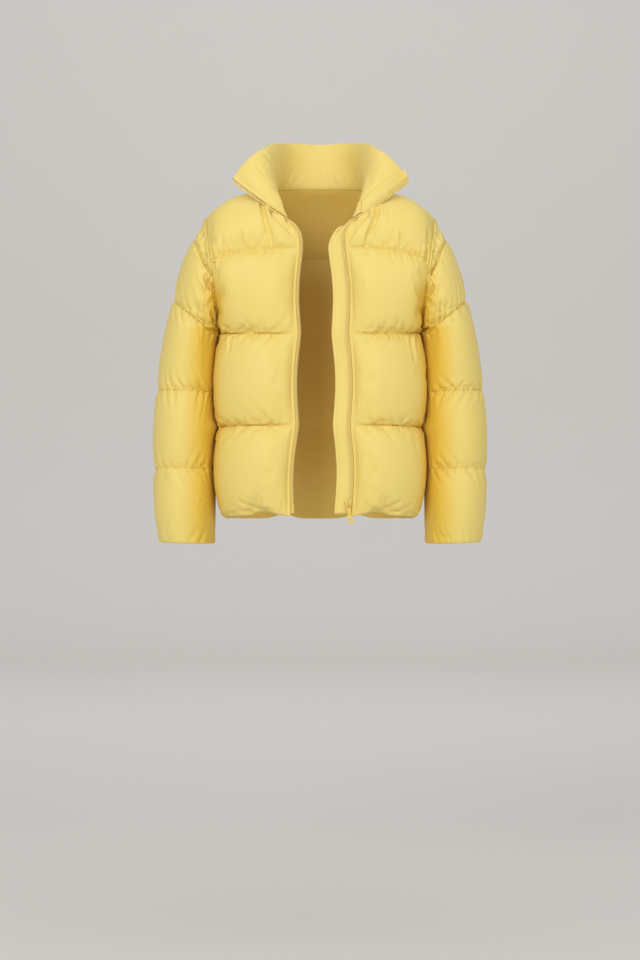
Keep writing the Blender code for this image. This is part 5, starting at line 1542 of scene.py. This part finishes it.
def make_slider():
    """The slider: two shield-shaped plates, the wedge between them and the arch that holds the pull."""
    builder = bmesh.new()
    for low in (PLATE_FACE, PLATE_GAP):
        rounded_box(builder, Block(-0.0060, 0.0060, low, low + PLATE, -HALF_SLIDER, HALF_SLIDER), 0.0005)
        for vert in builder.verts:
            if abs(vert.co.x) > 0.003 and low <= vert.co.y <= low + PLATE and not vert.tag:
                vert.co.x *= 1 - 0.16 * np.clip(-vert.co.z / HALF_SLIDER, 0, 1)
        for vert in builder.verts:
            vert.tag = True
    rounded_box(builder, Block(-0.0009, 0.0009, -PLATE_GAP - 0.0005, PLATE_GAP + 0.0005, 0.0005, 0.0055), 0.0003)
    for x in (-0.0060, 0.0050):
        rounded_box(
            builder, Block(x, x + 0.0010, PLATE_FACE + 0.0004, PLATE_FACE + PLATE + 0.0010, -0.0058, 0.0030), 0.0003
        )
    arch = [(-ARCH_REACH, PLATE_FACE + 0.0004), (-ARCH_REACH, ARCH_FACE + 0.0012), (-ARCH_REACH + 0.0014, ARCH_FACE)]
    arch += [(ARCH_REACH - 0.0018, ARCH_FACE), (ARCH_REACH, ARCH_FACE + 0.0016), (ARCH_REACH, PLATE_FACE + 0.0004)]
    outline = [builder.verts.new((0, y, z)) for z, y in arch]
    edges = [builder.edges.new(pair) for pair in zip(outline, outline[1:])]
    made = bmesh.ops.extrude_edge_only(builder, edges=edges)["geom"]
    moved = [item for item in made if isinstance(item, bmesh.types.BMVert)]
    bmesh.ops.translate(builder, vec=(2 * ARCH_HALF, 0, 0), verts=moved)
    bmesh.ops.translate(builder, vec=(-ARCH_HALF, 0, 0), verts=moved + outline)
    faces = [item for item in made if isinstance(item, bmesh.types.BMFace)]
    bmesh.ops.recalc_face_normals(builder, faces=faces)
    bmesh.ops.solidify(builder, geom=faces, thickness=ARCH_BAR * 0.9)
    bmesh.ops.transform(builder, matrix=zip_frame(LEFT, SLIDER_Z, CHANNEL), verts=builder.verts)
    metal_piece("zip_slider_cast", builder, "zip_slider")


def make_box_and_pin():
    top = -HALF_SLIDER - TRIM_GAP
    builder = bmesh.new()
    rounded_box(builder, Block(*BOX_ACROSS, -HALF_BOX, HALF_BOX, top - BOX_HEIGHT, top), 0.0006)
    for z in (top - 0.0035, top - 0.0095):
        rounded_box(builder, Block(BOX_ACROSS[0] + 0.0006, BOX_ACROSS[1] - 0.0006, -HALF_BOX - 0.0002, HALF_BOX + 0.0002, z - 0.0006, z), 0.0002, 2)
    bmesh.ops.transform(builder, matrix=zip_frame(LEFT, SLIDER_Z, CHANNEL), verts=builder.verts)
    metal_piece("zip_box_moulded", builder, "zip_box")
    builder = bmesh.new()
    rounded_box(builder, Block(*PIN_ACROSS, -HALF_PIN, HALF_PIN, -PIN_HEIGHT, -TRIM_GAP), 0.0006)
    bmesh.ops.transform(builder, matrix=zip_frame(RIGHT, PIN_TOP_Z, 0.0), verts=builder.verts)
    metal_piece("zip_pin_moulded", builder, "zip_pin")


def loop_of(builder, half_x, top, bottom, corner, steps=6):
    """A closed outline with round corners, in the x-z plane."""
    verts = []
    for x, z, start in ((half_x, top, 0), (-half_x, top, 1), (-half_x, bottom, 2), (half_x, bottom, 3)):
        middle = (x - math.copysign(corner, x), z - (corner if start < 2 else -corner))
        for step in range(steps + 1):
            turn = math.pi / 2 * (start + step / steps)
            verts.append(builder.verts.new((middle[0] + corner * math.cos(turn), 0, middle[1] + corner * math.sin(turn))))
    return [builder.edges.new(pair) for pair in zip(verts, verts[1:] + verts[:1])]


def flat_ring(builder, outer, hole, half_thick, bevel):
    """A flat ring between two round-cornered outlines, thickened and bevelled."""
    before = set(builder.faces)
    edges = loop_of(builder, *outer) + loop_of(builder, *hole)
    bmesh.ops.bridge_loops(builder, edges=edges)
    faces = [face for face in builder.faces if face not in before]
    made = bmesh.ops.extrude_face_region(builder, geom=faces, use_keep_orig=True)["geom"]
    top = [item for item in made if isinstance(item, bmesh.types.BMVert)]
    bottom = list({vert for face in faces for vert in face.verts})
    bmesh.ops.translate(builder, vec=(0, -half_thick, 0), verts=bottom)
    bmesh.ops.translate(builder, vec=(0, half_thick, 0), verts=top)
    rims = [e for e in builder.edges if all(v in set(bottom) for v in e.verts) or all(v in set(top) for v in e.verts)]
    rims = [e for e in rims if len(e.link_faces) == 2 and abs(e.link_faces[0].normal.dot(e.link_faces[1].normal)) < 0.5]
    builder.normal_update()
    bmesh.ops.bevel(builder, geom=rims, offset=bevel, segments=2, profile=0.5, affect="EDGES", material=-1)


def make_pull():
    """The pull: a long eye round the slider's arch, and a wider grip with a hole."""
    slider = zip_frame(LEFT, SLIDER_Z, CHANNEL)
    axis_at = slider @ Vector((0, PULL_AXIS_Y, PULL_AXIS_Z))
    right = slider.to_3x3() @ Vector((math.cos(PULL_TILT), 0, math.sin(PULL_TILT)))
    builder = bmesh.new()
    flat_ring(builder, (0.0038, EYE_BAR, -0.0262, 0.0022), (0.0020, -EYE_BAR, -0.0080, 0.0010), EYE_BAR, 0.00022)
    flat_ring(builder, (0.0062, -0.0240, -0.0395, 0.0034), (0.0034, -0.0308, -0.0360, 0.0016), EYE_BAR * 1.02, 0.00022)
    rounded_box(builder, Block(-0.0026, 0.0026, -EYE_BAR - 0.0002, EYE_BAR + 0.0002, -0.0228, -0.0108), 0.0002, 2)
    bmesh.ops.transform(
        builder, matrix=frame_matrix(np.array(axis_at), np.array(right), np.array([0.0, 0.0, 1.0])), verts=builder.verts
    )
    metal_piece("pull_tab_cast", builder, "pull_tab", "pull")


def make_welts():
    """The pockets' welts: a folded strip that lies on the front over the pocket's mouth."""
    for side, word in ((RIGHT, "right"), (LEFT, "left")):
        full, outward, rows, across = SKINS[f"front_{word}"]
        picked = np.where((rows > WELT_LOW + 0.02) & (rows < WELT_HIGH - 0.02))[0]
        columns = across / PANEL_WIDTH
        shares = np.linspace(WELT_FROM, WELT_TO, 7)
        lifts = np.array([0.0004, 0.0013, 0.0017, 0.0017, 0.0016, 0.0012, 0.0004])
        face = np.array([
            [[np.interp(s, columns, full[i, :, axis]) + lift * np.interp(s, columns, outward[i, :, axis]) for axis in range(3)]
             for s, lift in zip(shares, lifts)] for i in picked
        ])
        normal = np.array([[[np.interp(s, columns, outward[i, :, axis]) for axis in range(3)] for s in shares] for i in picked])
        # An even near-seam value: a little painted shade in the welt's colour and a little gathers' bump.
        near = np.full(face.shape[:2], 0.5)
        piece = cloth_shell(f"pocket_welt_{word}_cloth", face, face - normal * lifts[None, :, None] * 0.95 - normal * 0.0001, near, materials=(shell_cloth(), shell_cloth()))
        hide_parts(f"pocket_welt_{word}")
        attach(piece, "jacket")
        sew = [Seam(face[1:-1, column], normal[1:-1, column]) for column in (1, 5)]
        ends = [Seam(face[row, 1:-1], normal[row, 1:-1]) for row in (1, -2)]
        make_thread(f"pocket_thread_{word}", sew + ends)


def make_seams():
    """Thread along the quilting lines, the front bands and the collar."""
    for name, seams in LINES.items():
        make_thread(f"quilting_thread_{name}", seams)
    for side, word in ((RIGHT, "right"), (LEFT, "left")):
        full, outward, rows, across = SKINS[f"front_{word}"]
        column = int(np.argmin(np.abs(across - 0.0048)))
        band = [Seam(full[:, column], outward[:, column])]
        make_thread(f"band_thread_{word}", band)
    full, facing, outward, places = SKINS["collar"]
    ends = [Seam(facing[2:-1, column], -outward[2:-1, column]) for column in (4, -5)]
    make_thread("collar_thread", ends)


# ---- stage ----------------------------------------------------------------------------------------------------------
def soft_box(name, place, target, size, power):
    lamp = bpy.data.lights.new(name, "AREA")
    lamp.shape = "RECTANGLE"
    lamp.size, lamp.size_y = size
    lamp.energy = power
    light = bpy.data.objects.new(name, lamp)
    light.matrix_world = Matrix.Translation(place) @ (
        Vector(target) - Vector(place)
    ).to_track_quat("-Z", "Y").to_matrix().to_4x4()
    bpy.context.scene.collection.objects.link(light)


def make_stage():
    """A pale sweep of paper under and behind the jacket, soft light, and the camera."""
    stage = bpy.context.scene.jacket_stage
    builder = bmesh.new()
    bmesh.ops.create_grid(builder, x_segments=8, y_segments=60, size=1)
    bend, depth = 1.5, 8.5
    for vert in builder.verts:
        run = (vert.co.y + 1) / 2 * 24.0
        vert.co.x *= 12.0
        flat = 8.0 + depth - bend
        turn = np.clip((run - flat) / bend, 0, math.pi / 2)
        rise = max(0.0, run - flat - bend * math.pi / 2)
        vert.co.y = -8.0 + min(run, flat) + bend * math.sin(turn)
        vert.co.z = -stage.floor + bend * (1 - math.cos(turn)) + rise
    bmesh.ops.recalc_face_normals(builder, faces=builder.faces)
    builder.faces.ensure_lookup_table()
    if min(builder.faces, key=lambda face: face.calc_center_median().y).normal.z < 0:
        bmesh.ops.reverse_faces(builder, faces=builder.faces)
    sweep = new_object("paper_sweep", builder, [found("studio paper", lambda n: painted_paper(n, tuple(stage.pale)))])
    soft_box("key_light", (-2.0, -4.2, 1.5), (0, 0, -0.35), (2.6, 2.2), stage.key)
    soft_box("fill_light", (2.4, -4.2, 0.9), (0, 0, -0.4), (2.4, 2.4), stage.key * 0.62)
    soft_box("top_light", (0.2, 0.4, 3.2), (0, 0, 0), (3.0, 2.4), stage.key * 0.22)
    soft_box("backdrop_light", (0.0, 3.2, 3.6), (0, 8.0, -0.2), (6.0, 1.5), stage.key * 1.2)
    world = bpy.data.worlds.new("room")
    world.use_nodes = True
    world.node_tree.nodes["Background"].inputs["Color"].default_value = (1, 0.995, 0.985, 1)
    world.node_tree.nodes["Background"].inputs["Strength"].default_value = stage.sky
    bpy.context.scene.world = world
    bpy.context.scene.view_settings.view_transform = "Standard"
    lens = bpy.data.cameras.new("photo_view")
    lens.lens, lens.sensor_width, lens.sensor_fit = CAMERA_LENS, 36, "AUTO"
    camera = bpy.data.objects.new("photo_view", lens)
    camera.location = CAMERA_PLACE
    camera.rotation_euler = (math.pi / 2, 0, 0)
    bpy.context.scene.collection.objects.link(camera)
    bpy.context.scene.camera = camera


CAMERA_PLACE, CAMERA_LENS = (0, -5.0, -0.574), 91.5


# ---- operators and panel --------------------------------------------------------------------------------------------
class JACKET_OT_stage(bpy.types.Operator):
    """Floor, backdrop, lights and camera"""

    bl_idname = "jacket.stage"
    bl_label = "Stage"

    def execute(self, context):
        make_stage()
        return {"FINISHED"}


class JACKET_OT_back(bpy.types.Operator):
    """The padded back"""

    bl_idname = "jacket.back"
    bl_label = "Back"

    def execute(self, context):
        make_back()
        return {"FINISHED"}


class JACKET_OT_fronts(bpy.types.Operator):
    """The two padded fronts"""

    bl_idname = "jacket.fronts"
    bl_label = "Fronts"

    def execute(self, context):
        for side, word in ((RIGHT, "right"), (LEFT, "left")):
            make_front(side, word)
        return {"FINISHED"}


class JACKET_OT_sleeves(bpy.types.Operator):
    """The two padded sleeves"""

    bl_idname = "jacket.sleeves"
    bl_label = "Sleeves"

    def execute(self, context):
        for side, word in ((RIGHT, "right"), (LEFT, "left")):
            make_sleeve(side, word)
        return {"FINISHED"}


class JACKET_OT_collar(bpy.types.Operator):
    """The padded stand collar"""

    bl_idname = "jacket.collar"
    bl_label = "Collar"

    def execute(self, context):
        make_collar()
        return {"FINISHED"}


class JACKET_OT_wind_flap(bpy.types.Operator):
    """The wind flap behind the zip"""

    bl_idname = "jacket.wind_flap"
    bl_label = "Wind flap"

    def execute(self, context):
        make_flap()
        make_collar_flap()
        return {"FINISHED"}


class JACKET_OT_zip(bpy.types.Operator):
    """Both halves of the zip: woven tape and teeth"""

    bl_idname = "jacket.zip"
    bl_label = "Zip tapes and teeth"

    def execute(self, context):
        for side, word in ((RIGHT, "right"), (LEFT, "left")):
            make_zip(side, word)
        return {"FINISHED"}


class JACKET_OT_zip_ends(bpy.types.Operator):
    """Slider, box, pin and pull tab"""

    bl_idname = "jacket.zip_ends"
    bl_label = "Slider, box, pin and pull"

    def execute(self, context):
        make_slider()
        make_box_and_pin()
        make_pull()
        return {"FINISHED"}


class JACKET_OT_pockets(bpy.types.Operator):
    """The pockets' welts on the fronts"""

    bl_idname = "jacket.pockets"
    bl_label = "Pocket welts"

    def execute(self, context):
        make_welts()
        return {"FINISHED"}


class JACKET_OT_sewing(bpy.types.Operator):
    """Quilting and edge stitches"""

    bl_idname = "jacket.sewing"
    bl_label = "Stitches"

    def execute(self, context):
        make_seams()
        return {"FINISHED"}


OPERATORS = (
    JACKET_OT_stage,
    JACKET_OT_back,
    JACKET_OT_fronts,
    JACKET_OT_sleeves,
    JACKET_OT_collar,
    JACKET_OT_wind_flap,
    JACKET_OT_zip,
    JACKET_OT_zip_ends,
    JACKET_OT_pockets,
    JACKET_OT_sewing,
)


class JACKET_PT_panel(bpy.types.Panel):
    """Lists the sizes, the colours and the steps"""

    bl_label = "Puffer jacket"
    bl_idname = "JACKET_PT_panel"
    bl_space_type = "VIEW_3D"
    bl_region_type = "UI"
    bl_category = "Jacket"

    def draw(self, context):
        for group in (context.scene.jacket_sizes, context.scene.jacket_colours, context.scene.jacket_stage):
            column = self.layout.column(align=True)
            for name in group.__annotations__:
                column.prop(group, name)
        for operator in OPERATORS:
            self.layout.operator(operator.bl_idname)


GROUPS = {"jacket_sizes": JacketSizes, "jacket_colours": JacketColours, "jacket_stage": JacketStage}


def register():
    for item in (*GROUPS.values(), *OPERATORS, JACKET_PT_panel):
        bpy.utils.register_class(item)
    for name, group in GROUPS.items():
        setattr(bpy.types.Scene, name, bpy.props.PointerProperty(type=group))


def unregister():
    for name in GROUPS:
        delattr(bpy.types.Scene, name)
    for item in (JACKET_PT_panel, *reversed(OPERATORS), *GROUPS.values()):
        bpy.utils.unregister_class(item)


def main():
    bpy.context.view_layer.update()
    register()
    for operator in OPERATORS:
        group, name = operator.bl_idname.split(".")
        getattr(getattr(bpy.ops, group), name)()


if __name__ == "__main__":
    main()
